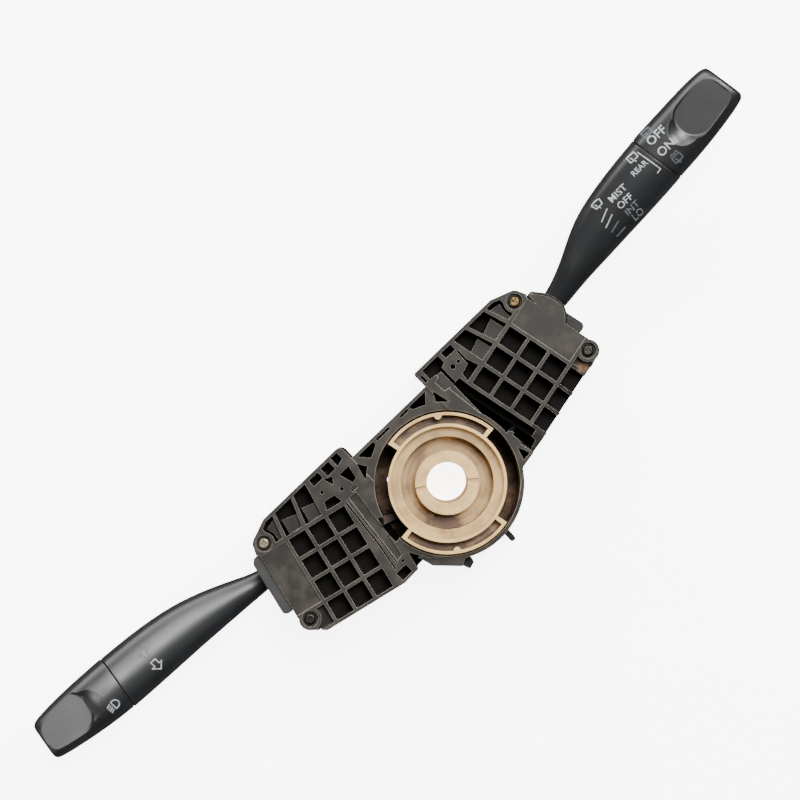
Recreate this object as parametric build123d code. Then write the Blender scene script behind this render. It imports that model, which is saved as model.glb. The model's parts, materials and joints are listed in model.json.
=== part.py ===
from build123d import *
from dataclasses import dataclass
from math import cos, hypot, radians, sin, sqrt, tan
import os

# Combination stalk switch for a steering column, in millimetres.
# The origin lies on the steering axis, in the plane of the back face. +X points to the wiper stalk,
# +Y is up and +Z points along the column to the driver. Each switch module is laid out in a frame of
# its own, u outwards and v up, that is turned by module_tilt about the steering axis. The light
# module is the mirror image of that frame.

# ---- steering axis: cancel sleeve -------------------------------------------------------------
shaft_bore_r = 8.75
hub_r = 13.8
hub_bottom = 4.2
hub_top = 34.0
bowl_floor = 25.5
bowl_r = 19.8
ledge_top = 35.0
rim_r = 25.3
rim_bottom = 19.0
sleeve_top = 40.0
sleeve_wall = 1.3
finger_reach = 4.9
finger_r = rim_r + finger_reach
finger_bottom = 31.0
finger_end = 2.0
finger_start = 5.7
finger_sweep = 97.0
finger_nub_r = 1.6
hub_notch_width = 2.2
hub_notch_depth = 1.4
cancel_cam_r = rim_r - 1.7
cancel_cam_bottom = 14.4
cancel_cam_height = 4.4
cancel_cam_width = 5.0
cancel_cam_angle = 45.0

# ---- base: ring in the middle -----------------------------------------------------------------
back_plane = 0.0
running_gap = 0.08
collar_wall = 3.0
collar_top = 14.0
column_seat_r = 16.0
column_seat_depth = 4.0
well_gap = 0.8
well_r = finger_r + well_gap
ring_wall = 1.8
ring_floor = 8.0
floor_wall = 2.5
ring_top = 37.0
truss_top_y = well_r + 5.0
truss_wall = 1.4
fin_half = 1.3
truss_pocket_floor = 14.0
column_bolt_pcd = 47.0
column_bolt_hole_r = 2.25
column_bolt_count = 4

# ---- base: wings over the two modules -----------------------------------------------------------
module_tilt = 12.5
skirt_bottom = 4.0
wing_floor = 25.0
wing_floor_wall = 2.0
rib_top = 38.0
rib_wall = 1.5
module_stand_off = 5.8
case_length = 45.7
case_half_v = 21.2
case_inner_u = well_r + ring_wall + module_stand_off
wing_end_u = case_inner_u + case_length
wing_inner_x = 0.57 * case_inner_u
lattice_outer_u = wing_end_u - 13.3
lattice_bottom_v = 5.6 - case_half_v
lattice_high_v = case_half_v - 5.75
lattice_columns = 3
lattice_rows = 3
lattice_pitch_v = (lattice_high_v - lattice_bottom_v) / lattice_rows
hood_wall = 2.7
skirt_wall = 2.2
plate_drop = 0.7
lower_row_fall = 6.5
block_drop = 3.2
boss_pocket_depth = 5.0
shallow_depth = 1.6
groove_depth = 2.5

# ---- module screws ------------------------------------------------------------------------------
screw_boss_r = 4.8
screw_u = wing_end_u - 4.3
screw_v = case_half_v - 2.4
wing_top_y = screw_u * sin(radians(module_tilt)) + screw_v * cos(radians(module_tilt)) + screw_boss_r + 2.83
screw_recess_r = 3.5
screw_recess_depth = 2.2
screw_head_r = 2.4
screw_head_height = 1.9
screw_r = 1.2
screw_length = 20.0
screw_gap = 0.1
screw_post_r = 3.1

# ---- switch module ------------------------------------------------------------------------------
case_wall = 1.8
case_top = 24.6
pivot_u = wing_end_u - 11.3
pivot_v = case_half_v - 14.6
flange_end_u = wing_end_u + 4.4
flange_low_v = pivot_v - 18.6
flange_high_v = pivot_v + 8.4
case_gap = 0.35
cover_wall = 3.0
flange_wall = 1.5
flange_corner_r = 2.2
lever_mouth_low = 6.5
lever_mouth_high = 24.2
board_wall = 1.6
board_outer_u = case_inner_u + 21.4
connector_length = 21.0
connector_width = 11.6
connector_inner_u = case_inner_u + 2.6
connector_wall = 1.3
connector_depth = 14.0
socket_floor_wall = 1.6
terminal_size = 0.7
terminal_pitch = 3.4
terminal_reach = 7.5
terminal_columns = 5
terminal_rows = 2
terminal_tail = 1.2
terminal_gap = 0.02
socket_key = 0.8
seat_gap = 0.1

# ---- lever mechanism ----------------------------------------------------------------------------
pivot_z = 12.0
lever_rise = 11.0
holder_half_width = 7.5
holder_front = 5.0
holder_back = -8.5
holder_low = 4.6
holder_high = 21.0
holder_journal_r = 4.0
fork_half_width = 4.9
fork_low = 6.0
fork_high = 19.2
fork_depth = 5.3
lever_side_gap = 0.2
trunnion_r = 1.5
trunnion_reach = 1.9
arm_length = 11.0
arm_half_width = 3.0
arm_low = 14.5
arm_high = 20.5
plunger_r = 1.5
plunger_length = 5.5
plunger_stand_out = 3.0
plunger_bore_depth = 8.5
detent_ridge_gap = 0.3
detent_notch_r = 1.9
detent_depth = 1.1
detent_wall = 4.0
spring_wire = 0.36
spring_turns = 4
carrier_wall = 2.1
carrier_length = 7.5
carrier_half_width = 4.0
bridge_pitch = 2.6
bridge_wall = 0.45
bridge_gap = 0.3

# ---- stalks -------------------------------------------------------------------------------------
shaft_r = 1.4
shaft_gap = 0.08
rotor_r = 2.4
rotor_length = 2.5
rotor_end = -11.5
knob_grip = 9.0
knob_gap = 0.4
lever_root_half = 4.6
tip_round = 2.2
scoop_start = 104.5
scoop_width = 16.0
scoop_depth = 3.2
scoop_rim = 3.6
scoop_end_r = 7.5

# ---- cancel pawl --------------------------------------------------------------------------------
pawl_pin_u = well_r + 3.2
pawl_pin_v = 0.5
pawl_pin_r = 1.3
pawl_boss_r = 2.3
pawl_tip_u = cancel_cam_r + 2.1
pawl_tip_v = -1.6
pawl_tip_r = 1.1
pawl_travel = 1.6
pawl_low = 12.0
pawl_height = 6.0
pawl_gate_start = 163.0
pawl_gate_sweep = 22.0


@dataclass(frozen=True)
class Side:
    """What differs between the light module on the left and the wiper module on the right."""

    name: str
    left: bool
    lattice_inset: float
    corner_r: float
    lower_row: float
    lever_turn: float
    detents: tuple
    stalk: tuple
    knob: tuple
    knob_tip: float


# Stalk sections: distance from the pivot along the lever, width, offset up the width and thickness.
LIGHT = Side(
    name="light",
    left=True,
    lattice_inset=3.2,
    corner_r=3.0,
    lower_row=5.6,
    lever_turn=-3.7,
    detents=(-12, 0, 12),
    stalk=(
        (13, 9.0, 0.0, 9.0),
        (18, 9.2, -0.6, 9.5),
        (31, 14.2, 0.9, 11.5),
        (42, 18.2, 1.8, 13.4),
        (52, 21.0, 2.3, 15.0),
        (63, 23.2, 2.2, 16.2),
        (78, 24.8, 1.3, 17.2),
        (94, 25.1, 0.0, 17.5),
    ),
    knob=((94, 25.1, 0.0, 17.5), (103, 24.8, -0.6, 17.4), (114, 23.4, -1.3, 16.4), (124, 21.4, -1.8, 14.6)),
    knob_tip=133.8,
)
WIPER = Side(
    name="wiper",
    left=False,
    lattice_inset=1.9,
    corner_r=0.8,
    lower_row=2.6,
    lever_turn=-3.1,
    detents=(7, 0, -7, -14, -21),
    stalk=(
        (13, 9.0, 0.0, 9.0),
        (18, 10.2, -1.8, 9.5),
        (31, 12.8, -0.6, 11.5),
        (42, 17.8, 0.7, 13.4),
        (52, 21.8, 1.7, 15.0),
        (63, 24.0, 1.7, 16.2),
        (78, 25.7, 1.0, 17.2),
        (94, 26.0, 0.0, 17.5),
    ),
    knob=((94, 26.0, 0.0, 17.5), (103, 26.0, -0.6, 17.4), (114, 25.4, -1.5, 16.6), (126, 24.0, -2.3, 14.8)),
    knob_tip=137.4,
)


# ---- helpers ------------------------------------------------------------------------------------
def block(x0, x1, y0, y1, z0, z1):
    """A box from its low and high corner."""
    return Pos((x0 + x1) / 2, (y0 + y1) / 2, (z0 + z1) / 2) * Box(x1 - x0, y1 - y0, z1 - z0)


def rod(radius, z0, z1, x=0.0, y=0.0):
    """A cylinder that stands on z0 and ends at z1."""
    return Pos(x, y, (z0 + z1) / 2) * Cylinder(radius, z1 - z0)


def outline(*points):
    """A flat polygon at z = 0."""
    return Polygon(*points, align=None)


def slab(face, z0, z1):
    """A flat face raised from z0 to z1."""
    return Pos(0, 0, z0) * extrude(face, z1 - z0, dir=(0, 0, 1))


def uv(u, v):
    """A point of the right module's frame, in the part's frame."""
    turn = radians(module_tilt)
    return (u * cos(turn) - v * sin(turn), u * sin(turn) + v * cos(turn))


def by_ring(*points):
    """Outline beside the ring. Its points are ratios of the well's radius."""
    return outline(*[(well_r * x, well_r * y) for x, y in points])


def by_wing(x, y):
    """Point on a wing, as ratios of the module's distance from the axis and of the wing's height."""
    return case_inner_u * x, wing_top_y * y


def uv_box(u0, u1, v0, v1):
    """A rectangle that is square to the module's frame, in the part's frame."""
    return outline(uv(u0, v0), uv(u1, v0), uv(u1, v1), uv(u0, v1))


def mirrored(shape, side):
    return mirror(shape, about=Plane.YZ) if side.left else shape


def placed(shape, side):
    """Takes a shape from the module's own frame to its place in the part."""
    return mirrored(Rot(0, 0, module_tilt) * shape, side)


def holder_frame(side):
    return Pos(pivot_u, pivot_v, pivot_z) * Rot(0, 0, side.lever_turn)


def lever_frame(side):
    return holder_frame(side) * Rot(0, -lever_rise, 0)


def group(shapes):
    """Separate solids that share one node."""
    return Compound([solid for shape in shapes for solid in shape.solids()])


def along(radius, x0, x1, y=0.0, z=0.0):
    """A cylinder along X."""
    return Pos((x0 + x1) / 2, y, z) * Rot(0, 90, 0) * Cylinder(radius, x1 - x0)


def across(radius, y0, y1, x=0.0, z=0.0):
    """A cylinder along Y."""
    return Pos(x, (y0 + y1) / 2, z) * Rot(90, 0, 0) * Cylinder(radius, y1 - y0)


# ---- cancel sleeve ------------------------------------------------------------------------------
def sleeve_profile():
    """Half section of the sleeve: hub, bowl, ledge and rim."""
    floor_low = bowl_floor - sleeve_wall
    ledge_low = ledge_top - sleeve_wall
    rim_in = rim_r - sleeve_wall
    step_r = bowl_r + sleeve_wall
    return outline(
        (shaft_bore_r, hub_bottom),
        (hub_r, hub_bottom),
        (hub_r, floor_low),
        (step_r, floor_low),
        (step_r, ledge_low),
        (rim_in, ledge_low),
        (rim_in, rim_bottom),
        (rim_r, rim_bottom),
        (rim_r, sleeve_top),
        (rim_in, sleeve_top),
        (rim_in, ledge_top),
        (bowl_r, ledge_top),
        (bowl_r, bowl_floor),
        (hub_r, bowl_floor),
        (hub_r, hub_top),
        (shaft_bore_r, hub_top),
    )


def ring_sector(outer_r, inner_r, start, sweep, z0, z1):
    """Part of a ring between two radii, from start over sweep degrees."""
    arc_out = CenterArc((0, 0), outer_r, start, sweep)
    arc_in = CenterArc((0, 0), inner_r, start, sweep)
    ends = [Line(arc_in @ 0, arc_out @ 0), Line(arc_in @ 1, arc_out @ 1)]
    return slab(make_face(Curve() + [arc_out, arc_in] + ends), z0, z1)


def sleeve_finger(start):
    """One of the two hollow fingers outside the rim, which is open at the front."""
    wall_deg = finger_end / finger_r * 57.3
    body = ring_sector(finger_r, rim_r - sleeve_wall / 2, start, finger_sweep, finger_bottom, sleeve_top)
    slot = ring_sector(
        finger_r - sleeve_wall,
        rim_r,
        start + wall_deg,
        finger_sweep - 2 * wall_deg,
        finger_bottom + sleeve_wall,
        sleeve_top + 1,
    )
    nub_place = Rot(0, 0, start + finger_sweep / 2) * Pos(finger_r - sleeve_wall, 0, 0)
    nub = nub_place * rod(finger_nub_r, finger_bottom, sleeve_top)
    return body - slot + (nub & ring_sector(finger_r, rim_r, start, finger_sweep, 0, sleeve_top))


def cancel_sleeve():
    body = revolve(Rot(90, 0, 0) * sleeve_profile(), Axis.Z, 360)
    cam = block(0, cancel_cam_r, -cancel_cam_width / 2, cancel_cam_width / 2, cancel_cam_bottom, bowl_floor)
    cam = cam & rod(cancel_cam_r, cancel_cam_bottom, cancel_cam_bottom + cancel_cam_height)
    cam = cam - rod(hub_r - 1, 0, sleeve_top)
    notch = block(shaft_bore_r - 1, hub_r + 1, -hub_notch_width / 2, hub_notch_width / 2,
                  hub_top - hub_notch_depth, hub_top + 1)
    for angle in (finger_start, finger_start + 180):
        body = body + sleeve_finger(angle)
    for angle in (cancel_cam_angle, cancel_cam_angle + 180):
        body = body + Rot(0, 0, angle) * cam
    for angle in (150, 320):
        body = body - Rot(0, 0, angle) * notch
    return body


# ---- base body ----------------------------------------------------------------------------------
def wing_outline(side):
    """Outline of one wing, seen by the driver, for the right side."""
    boss = uv(screw_u, screw_v)
    face = outline(
        (wing_inner_x, wing_top_y / 2),
        (wing_inner_x, wing_top_y),
        (boss[0] - 1.46 * screw_boss_r, wing_top_y),
        (boss[0] + 0.3 * screw_boss_r, boss[1] + 0.95 * screw_boss_r),
        (boss[0] + 0.8 * screw_boss_r, boss[1] + 0.62 * screw_boss_r),
        uv(wing_end_u + 1.2, flange_high_v + 2 * case_gap + 0.4),
        uv(wing_end_u, flange_high_v + 2 * case_gap),
        uv(wing_end_u, lattice_bottom_v),
        uv(screw_u + 2.5, -screw_v - screw_boss_r + 0.8),
        uv(screw_u - 4, bottom_v(side)),
        uv(case_inner_u - 1, bottom_v(side)),
        by_wing(0.725, -0.404),
        by_wing(0.518, -0.554),
        by_wing(0.389, 0.000),
    )
    corner = face.vertices().sort_by_distance((wing_inner_x, wing_top_y, 0))[0]
    return fillet(corner, side.corner_r)


def bottom_v(side):
    """Lower edge of a wing."""
    return -case_half_v - side.lower_row


def lattice_inner_u(side):
    return case_inner_u + side.lattice_inset


def lattice_u(side):
    """Where the upright ribs of the lattice stand."""
    step = (lattice_outer_u - lattice_inner_u(side)) / lattice_columns
    return [lattice_inner_u(side) + k * step for k in range(lattice_columns + 1)]


def lattice_cells(side):
    """The open cells between the ribs, and the shallow row below them."""
    columns = lattice_u(side)
    half = rib_wall / 2
    low = bottom_v(side) + lower_border(side)
    faces = []
    for u0, u1 in zip(columns, columns[1:]):
        for row in range(lattice_rows):
            v0 = lattice_bottom_v + row * lattice_pitch_v
            faces.append(uv_box(u0 + half, u1 - half, v0 + half, v0 + lattice_pitch_v - half))
        faces.append(uv_box(u0 + half, u1 - half, low, lattice_bottom_v - half))
    return faces


def lower_border(side):
    """The left wing's lowest cells are closed by a border; the right wing's are open."""
    return rib_wall if side.left else -1.0


def lower_boss_pocket(side):
    """Shallow hollow round the lower boss, inside the wing's outer edge."""
    boss = uv(screw_u, -screw_v)
    inner = lattice_outer_u + rib_wall / 2
    high = lattice_bottom_v - rib_wall / 2
    low = bottom_v(side)
    face = outline(uv(inner, high), uv(wing_end_u - 3, high), boss, uv(screw_u - 1, low + 1.4),
                   uv(inner, low + lower_border(side)))
    return face - Pos(*boss) * Circle(screw_boss_r)


def slant_rib_tops(side):
    """Top ends, along x, of the three slanted ribs that run up to the wing's top edge."""
    return [ratio * wing_end_u for ratio in (0.512, 0.612, 0.741)]


def upper_cells(side):
    """The two tall cells between the slanted ribs, and the cell beside the upper boss."""
    half = rib_wall / 2
    tops = slant_rib_tops(side)
    feet = [uv(u, lattice_high_v) for u in lattice_u(side)[1:]]
    high = wing_top_y - rib_wall
    cells = []
    for k in range(2):
        (x0, y0), (x1, y1) = feet[k], feet[k + 1]
        cells.append(
            outline((x0 + 1.1 * half, y0 + 1.6 * half), (x1 - 1.2 * half, y1 + 1.0 * half),
                    (tops[k + 1] - half, high), (tops[k] + half, high))
        )
    x, y = feet[2]
    boss = uv(screw_u, screw_v)
    r = screw_boss_r
    beside = outline((x + half, y + 2 * half), (tops[2] + half, high), (boss[0] - 1.46 * r, high),
                     (boss[0] - 0.83 * r, high - 0.25 * r), (boss[0] - 0.7 * r, boss[1] - 0.62 * r))
    cells.append(beside - Pos(*boss) * Circle(screw_boss_r))
    return cells


def upper_blocks(side):
    """Raised blocks in the lower half of the tall cells, and beside the upper boss."""
    feet = [uv(u, lattice_high_v) for u in lattice_u(side)[1:]]
    blocks = []
    cell = lattice_pitch_v
    for (x0, y0), (x1, y1) in zip(feet, feet[1:]):
        blocks.append(outline((x0 - 0.03 * cell, y0 + 0.06 * cell), (x1 - 0.25 * cell, y1 + 0.06 * cell),
                              (x1 - 0.4 * cell, y1 + 0.68 * cell), (x0 - 0.17 * cell, y0 + 0.62 * cell)))
    x, y = feet[2]
    boss = uv(screw_u, screw_v)
    r = screw_boss_r
    beside = outline((x, y), (x - 0.23 * cell, y + 0.95 * cell), (boss[0] - 1.04 * r, boss[1] + 0.75 * r),
                     (boss[0] - 1.17 * r, y + 0.1 * cell))
    return blocks + [beside - Pos(*boss) * Circle(1.19 * r)]


def ring_gap(face):
    """A face without what lies inside the ring wall."""
    return face - Circle(well_r + ring_wall + 0.1)


def rect(x0, x1, y0, y1):
    return outline((x0, y0), (x1, y0), (x1, y1), (x0, y1))


def wing_rect(x0, x1, y0, y1):
    """Upright rectangle on a wing, in by_wing's ratios."""
    return outline(by_wing(x0, y0), by_wing(x1, y0), by_wing(x1, y1), by_wing(x0, y1))


def wing_hole(radius, x, y):
    return Pos(*by_wing(x, y)) * Circle(radius)


def wiper_inner_pockets(side):
    """Pockets and holes between the ring and the lattice of the right wing."""
    low_v = 2.2 - case_half_v
    lattice = lattice_inner_u(side) - rib_wall / 2
    return [
        ring_gap(outline(by_wing(0.655, 0.965), by_wing(0.655, 0.850), by_wing(0.741, 0.841),
                         by_wing(0.731, 0.804), by_wing(0.668, 0.794), by_wing(0.679, 0.670),
                         by_wing(0.756, 0.656), by_wing(0.837, 0.661), by_wing(0.837, 0.855),
                         by_wing(0.896, 0.873), by_wing(0.896, 0.965))),
        ring_gap(outline(by_wing(0.756, 0.658), by_wing(0.899, 0.661), uv(lattice, lattice_high_v),
                         uv(lattice, low_v), uv(case_inner_u - 3, low_v), by_wing(0.860, 0.0))),
        wing_rect(0.593, 0.622, 0.855, 0.935),
        wing_rect(0.940, 1.083, 0.891, 0.961),
        outline(by_wing(0.943, 0.582), by_wing(1.150, 0.621), by_wing(1.098, 0.751), by_wing(1.098, 0.864),
                by_wing(1.078, 0.864), by_wing(1.073, 0.702), by_wing(0.956, 0.670)),
        wing_hole(1.1, 0.933, 0.785),
        wing_hole(0.7, 1.018, 0.785),
    ]


def light_inner_pockets(side):
    """Guide grooves, pockets and holes between the ring and the lattice of the left wing."""
    return [
        outline(by_wing(0.948, 0.559), by_wing(0.964, 0.559), by_wing(1.026, 0.000),
                by_wing(1.078, -0.254), by_wing(1.062, -0.259), by_wing(1.010, -0.005)),
        wing_rect(0.948, 1.083, 0.885, 0.961),
        wing_rect(0.782, 0.896, 0.864, 0.965),
        outline(by_wing(0.953, 0.868), by_wing(0.917, 0.767), by_wing(0.860, 0.831)),
        outline(by_wing(0.648, 0.972), by_wing(0.648, 0.891), by_wing(0.741, 0.868), by_wing(0.741, 0.972)),
        outline(by_wing(0.974, 0.591), by_wing(1.166, 0.628), by_wing(1.119, 0.707), by_wing(0.990, 0.684)),
        wing_rect(0.953, 1.098, -0.383, -0.291),
        wing_rect(0.738, 0.816, 0.582, 0.624),
        wing_hole(0.7, 1.067, 0.790),
        wing_hole(0.8, 0.881, 0.679),
    ]


def guide_channel():
    """Shallow smooth channel beside the guide groove of the left wing, and its second groove."""
    smooth = outline(by_wing(0.793, 0.564), by_wing(0.896, 0.564), by_wing(0.943, 0.185),
                     by_wing(0.990, -0.208), by_wing(0.912, -0.194), by_wing(0.860, 0.046),
                     by_wing(0.834, 0.277))
    groove = outline(by_wing(0.917, 0.559), by_wing(0.930, 0.559), by_wing(0.984, 0.000),
                     by_wing(1.016, -0.217), by_wing(1.003, -0.222), by_wing(0.969, -0.005))
    hole = wing_hole(0.7, 0.948, -0.245)
    return [(ring_gap(smooth), shallow_depth), (groove, groove_depth), (hole, 2 * groove_depth)]


def deep_gaps(side):
    """Deep openings between the ring and the module, inside the module's end wall."""
    if side.left:
        return [ring_gap(outline(by_wing(0.842, -0.219), by_wing(0.894, -0.427), by_wing(0.674, -0.467)))]
    end = case_inner_u - 2.4
    high = outline(by_wing(0.736, 0.651), by_wing(0.829, 0.656), uv(end, lattice_high_v - 1),
                   uv(end, -case_half_v / 2), by_wing(0.839, -0.046))
    low = outline(by_wing(0.782, -0.356), by_wing(0.829, -0.222), by_wing(0.886, -0.351))
    beside = outline(by_wing(0.886, -0.106), uv(end, -0.54 * case_half_v), uv(end, -case_half_v),
                     by_wing(0.917, -0.337))
    return [ring_gap(high), ring_gap(low), ring_gap(beside)]


def boss_places():
    return [uv(screw_u, screw_v), uv(screw_u, -screw_v)]


def wing_underside(side):
    """The bay for the module, open to the back and to the outer end, and the hollow above it."""
    inner = case_inner_u - case_gap
    half = case_half_v + case_gap
    bay = slab(uv_box(inner, flange_end_u + 10, -half, half), skirt_bottom - 1, wing_floor)
    shelf = half + skirt_wall
    high = wing_top_y - skirt_wall
    above = outline(uv(inner, shelf), (uv(inner, shelf)[0], high), (0.735 * wing_end_u, high),
                    uv(lattice_outer_u + 1, shelf))
    under_plate = uv_box(lattice_outer_u + 2, wing_end_u - 2, -0.57 * case_half_v, 0.57 * case_half_v)
    return [bay, slab(above, skirt_bottom - 1, wing_floor), slab(under_plate, wing_floor - 1, rib_top - 3)]


def wing(side):
    body = slab(wing_outline(side), skirt_bottom, rib_top)
    for x, y in boss_places():
        body = body + rod(screw_boss_r, wing_floor, rib_top, x, y)
    cell_floor = wing_floor + wing_floor_wall
    for face in lattice_cells(side) + upper_cells(side):
        body = body - slab(face, cell_floor, rib_top + 1)
    for face in upper_blocks(side):
        body = body + slab(face, cell_floor - 0.5, rib_top - block_drop)
    pockets = light_inner_pockets(side) if side.left else wiper_inner_pockets(side)
    for face in pockets:
        body = body - slab(face, cell_floor, rib_top + 1)
    body = body - slab(lower_boss_pocket(side), rib_top - boss_pocket_depth, rib_top + 1)
    for face in deep_gaps(side):
        body = body - slab(face, truss_pocket_floor, rib_top + 1)
    if side.left:
        for face, depth in guide_channel():
            body = body - slab(face, rib_top - depth, rib_top + 1)
    plate = uv_box(lattice_outer_u + rib_wall / 2, wing_end_u + 3, lattice_bottom_v + rib_wall / 2,
                   lattice_high_v - rib_wall / 2)
    body = body - slab(plate, rib_top - plate_drop, rib_top + 1)
    if not side.left:
        body = body - lower_row_slope(side)
    for cut in wing_underside(side):
        body = body - cut
    recess_floor = rib_top - screw_recess_depth
    for x, y in boss_places():
        body = body - rod(screw_recess_r, recess_floor, rib_top + 1, x, y)
        body = body - rod(screw_r + screw_gap, 0, rib_top, x, y)
    return body


def lower_row_slope(side):
    """Wedge that lets the tops of the lowest ribs fall away to the wing's lower edge."""
    edge_v = bottom_v(side) - 1
    start_v = lattice_bottom_v - rib_wall / 2
    high = rib_top + 2
    wedge = outline((start_v, rib_top), (start_v, high), (edge_v, high), (edge_v, rib_top - lower_row_fall))
    length = screw_u - screw_boss_r - 1 - well_r
    plane = Plane(origin=(well_r, 0, 0), x_dir=(0, 1, 0), z_dir=(1, 0, 0))
    prism = extrude(plane * wedge, length, dir=(1, 0, 0))
    return Rot(0, 0, module_tilt) * prism


def hood_outline():
    """Outline of the arch that covers the root of the wiper stalk."""
    ratios = ((0.949, 0.767), (0.982, 0.771), (1.020, 0.679), (1.042, 0.577),
              (1.049, 0.462), (1.027, 0.370), (0.996, 0.305), (0.955, 0.277))
    return outline(*[(wing_end_u * x, wing_top_y * y) for x, y in ratios])


def wiper_hood():
    """Arched hood of the right wing over the root of its stalk."""
    top = rib_top - plate_drop
    roof = slab(hood_outline(), top - hood_wall, top)
    rim = [edge for edge in roof.edges().group_by(Axis.Z)[-1] if edge.center().X > wing_end_u - 1]
    return chamfer(rim, 1.2)


def fins():
    """Two small locating tabs below the ring."""
    rounded = by_ring((-0.645, -0.903), (-0.645, -0.968), (-0.600, -1.077), (-0.497, -1.052),
                      (-0.484, -0.839))
    tab_x, tab_y = 0.113 * well_r, -1.184 * well_r
    pin_tab = rect(tab_x - fin_half, tab_x + fin_half, tab_y, -well_r) + Pos(tab_x, tab_y) * Circle(fin_half)
    return slab(rounded, ring_floor, ring_top - 6) + slab(pin_tab, ring_floor, ring_top - 8)


def truss_pockets():
    """Openings between the ring and the straight bar above it."""
    bar = truss_top_y - truss_wall
    top = bar / well_r
    low = bar - 1.0
    pockets = [
        by_ring((-0.639, top), (-0.342, top), (-0.342, 1.061), (-0.516, 0.974)),
        by_ring((0.348, 1.061), (0.348, top), (0.652, top), (0.529, 0.981)),
        rect(-0.290 * well_r, -0.048 * well_r, low, bar),
        rect(0.161 * well_r, 0.310 * well_r, low, bar),
        by_ring((-0.716, 1.052), (-0.781, 0.806), (-0.632, 0.929)),
        by_ring((0.729, 1.045), (0.658, 0.910), (0.794, 0.787)),
        by_ring((-0.987, 1.110), (-0.813, 1.110), (-0.852, 0.923), (-0.929, 0.903)),
    ]
    return [slab(face - Circle(well_r + ring_wall), truss_pocket_floor, rib_top + 1) for face in pockets]


def centre_block():
    """Ring, collar, straight top bar and the two lower diagonals, before the well is cut."""
    ring = slab(Circle(well_r + ring_wall), ring_floor, ring_top)
    bar = slab(rect(-well_r, well_r, well_r / 3, truss_top_y), ring_floor, ring_top)
    left_diagonal = by_ring((-1.000, -0.452), (-0.935, -0.677), (-0.645, -0.968), (-0.323, -0.806))
    right_diagonal = by_ring((1.000, -0.323), (0.903, -0.565), (0.645, -0.819), (0.452, -0.645))
    lower = slab(left_diagonal, ring_floor, ring_top) + slab(right_diagonal, ring_floor, ring_top)
    return ring + bar + lower


def pawl_bay():
    """Room for the cancel pawl between the left module and the ring, and its gate in the ring wall."""
    floor_top = ring_floor + floor_wall
    room = uv_box(0.65 * well_r, case_inner_u + 0.5, -0.26 * well_r, 0.24 * well_r)
    channel = slab(room, floor_top, wing_floor)
    outer = well_r + ring_wall + 0.5
    gate = ring_sector(outer, well_r - 1, pawl_gate_start, pawl_gate_sweep, floor_top, rib_top + 1)
    return [mirrored(channel, LIGHT), gate]


def base_body():
    body = centre_block()
    body = body + mirrored(wing(LIGHT), LIGHT) + wing(WIPER) + wiper_hood() + fins()
    floor_top = ring_floor + floor_wall
    collar_r = hub_r + running_gap
    body = body - rod(well_r, floor_top, rib_top + 1) - rod(well_r + ring_wall, -1, ring_floor)
    for cut in truss_pockets() + pawl_bay():
        body = body - cut
    body = body + rod(column_seat_r + collar_wall, back_plane, floor_top)
    body = body + rod(hub_r + collar_wall, back_plane, collar_top)
    body = body - rod(collar_r, -1, rib_top) - rod(column_seat_r, -1, column_seat_depth)
    for k in range(column_bolt_count):
        angle = radians(45 + 360 * k / column_bolt_count)
        reach = column_bolt_pcd / 2
        body = body - rod(column_bolt_hole_r, 0, floor_top + 1, reach * cos(angle), reach * sin(angle))
    x, y = uv(pawl_pin_u, pawl_pin_v)
    post = rod(pawl_boss_r, pawl_low + pawl_height + seat_gap, wing_floor + 1, -x, y)
    return body + post - rod(pawl_pin_r, floor_top - 2, wing_floor, -x, y)


# ---- switch module: fixed pieces ----------------------------------------------------------------
def case_posts():
    return [(screw_u, screw_v), (screw_u, -screw_v)]


def screw_seat():
    return rib_top - screw_recess_depth


def case(side):
    """Box of the module, open to the back, with the mouth for the lever and its flange."""
    floor = cover_wall
    body = block(case_inner_u, wing_end_u, -case_half_v, case_half_v, floor, case_top)
    body = body + block(wing_end_u - 1, flange_end_u, flange_low_v, flange_high_v, floor, case_top)
    inner = wing_end_u + case_gap
    upper = block(inner, flange_end_u, flange_low_v, flange_high_v, case_top - 1, flange_top(side))
    corners = upper.edges().filter_by(Axis.Z).group_by(Axis.X)[-1]
    body = body + fillet(corners, flange_corner_r)
    body = body - block(case_inner_u + case_wall, wing_end_u - case_wall, case_wall - case_half_v,
                        case_half_v - case_wall, floor - 1, case_top - case_wall)
    mouth_low, mouth_high = flange_low_v + 3, flange_high_v - flange_wall
    body = body - block(wing_end_u - case_wall - 1, flange_end_u + 1, mouth_low, mouth_high, lever_mouth_low,
                        lever_mouth_high)
    for u, v in case_posts():
        post = rod(screw_post_r, floor + 4, case_top, u, v)
        body = body + (post & block(0, wing_end_u, -case_half_v, case_half_v, 0, case_top))
        body = body - rod(screw_r + screw_gap / 2, screw_seat() - screw_length - 0.5, case_top + 1, u, v)
    journal_r = holder_journal_r + running_gap
    return body - rod(journal_r, case_top - case_wall - 1, case_top - 0.6, pivot_u, pivot_v)


def flange_top(side):
    """The light module's flange shows beside the wing; the wiper module's ends below the hood."""
    hood_low = rib_top - plate_drop - hood_wall
    return rib_top - 1.5 if side.left else hood_low - seat_gap


def connector_low_v():
    return case_wall - case_half_v + seat_gap


def connector_rect(grow):
    v0 = connector_low_v()
    return (connector_inner_u - grow, connector_inner_u + connector_length + grow, v0 - grow,
            v0 + connector_width + grow)


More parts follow.
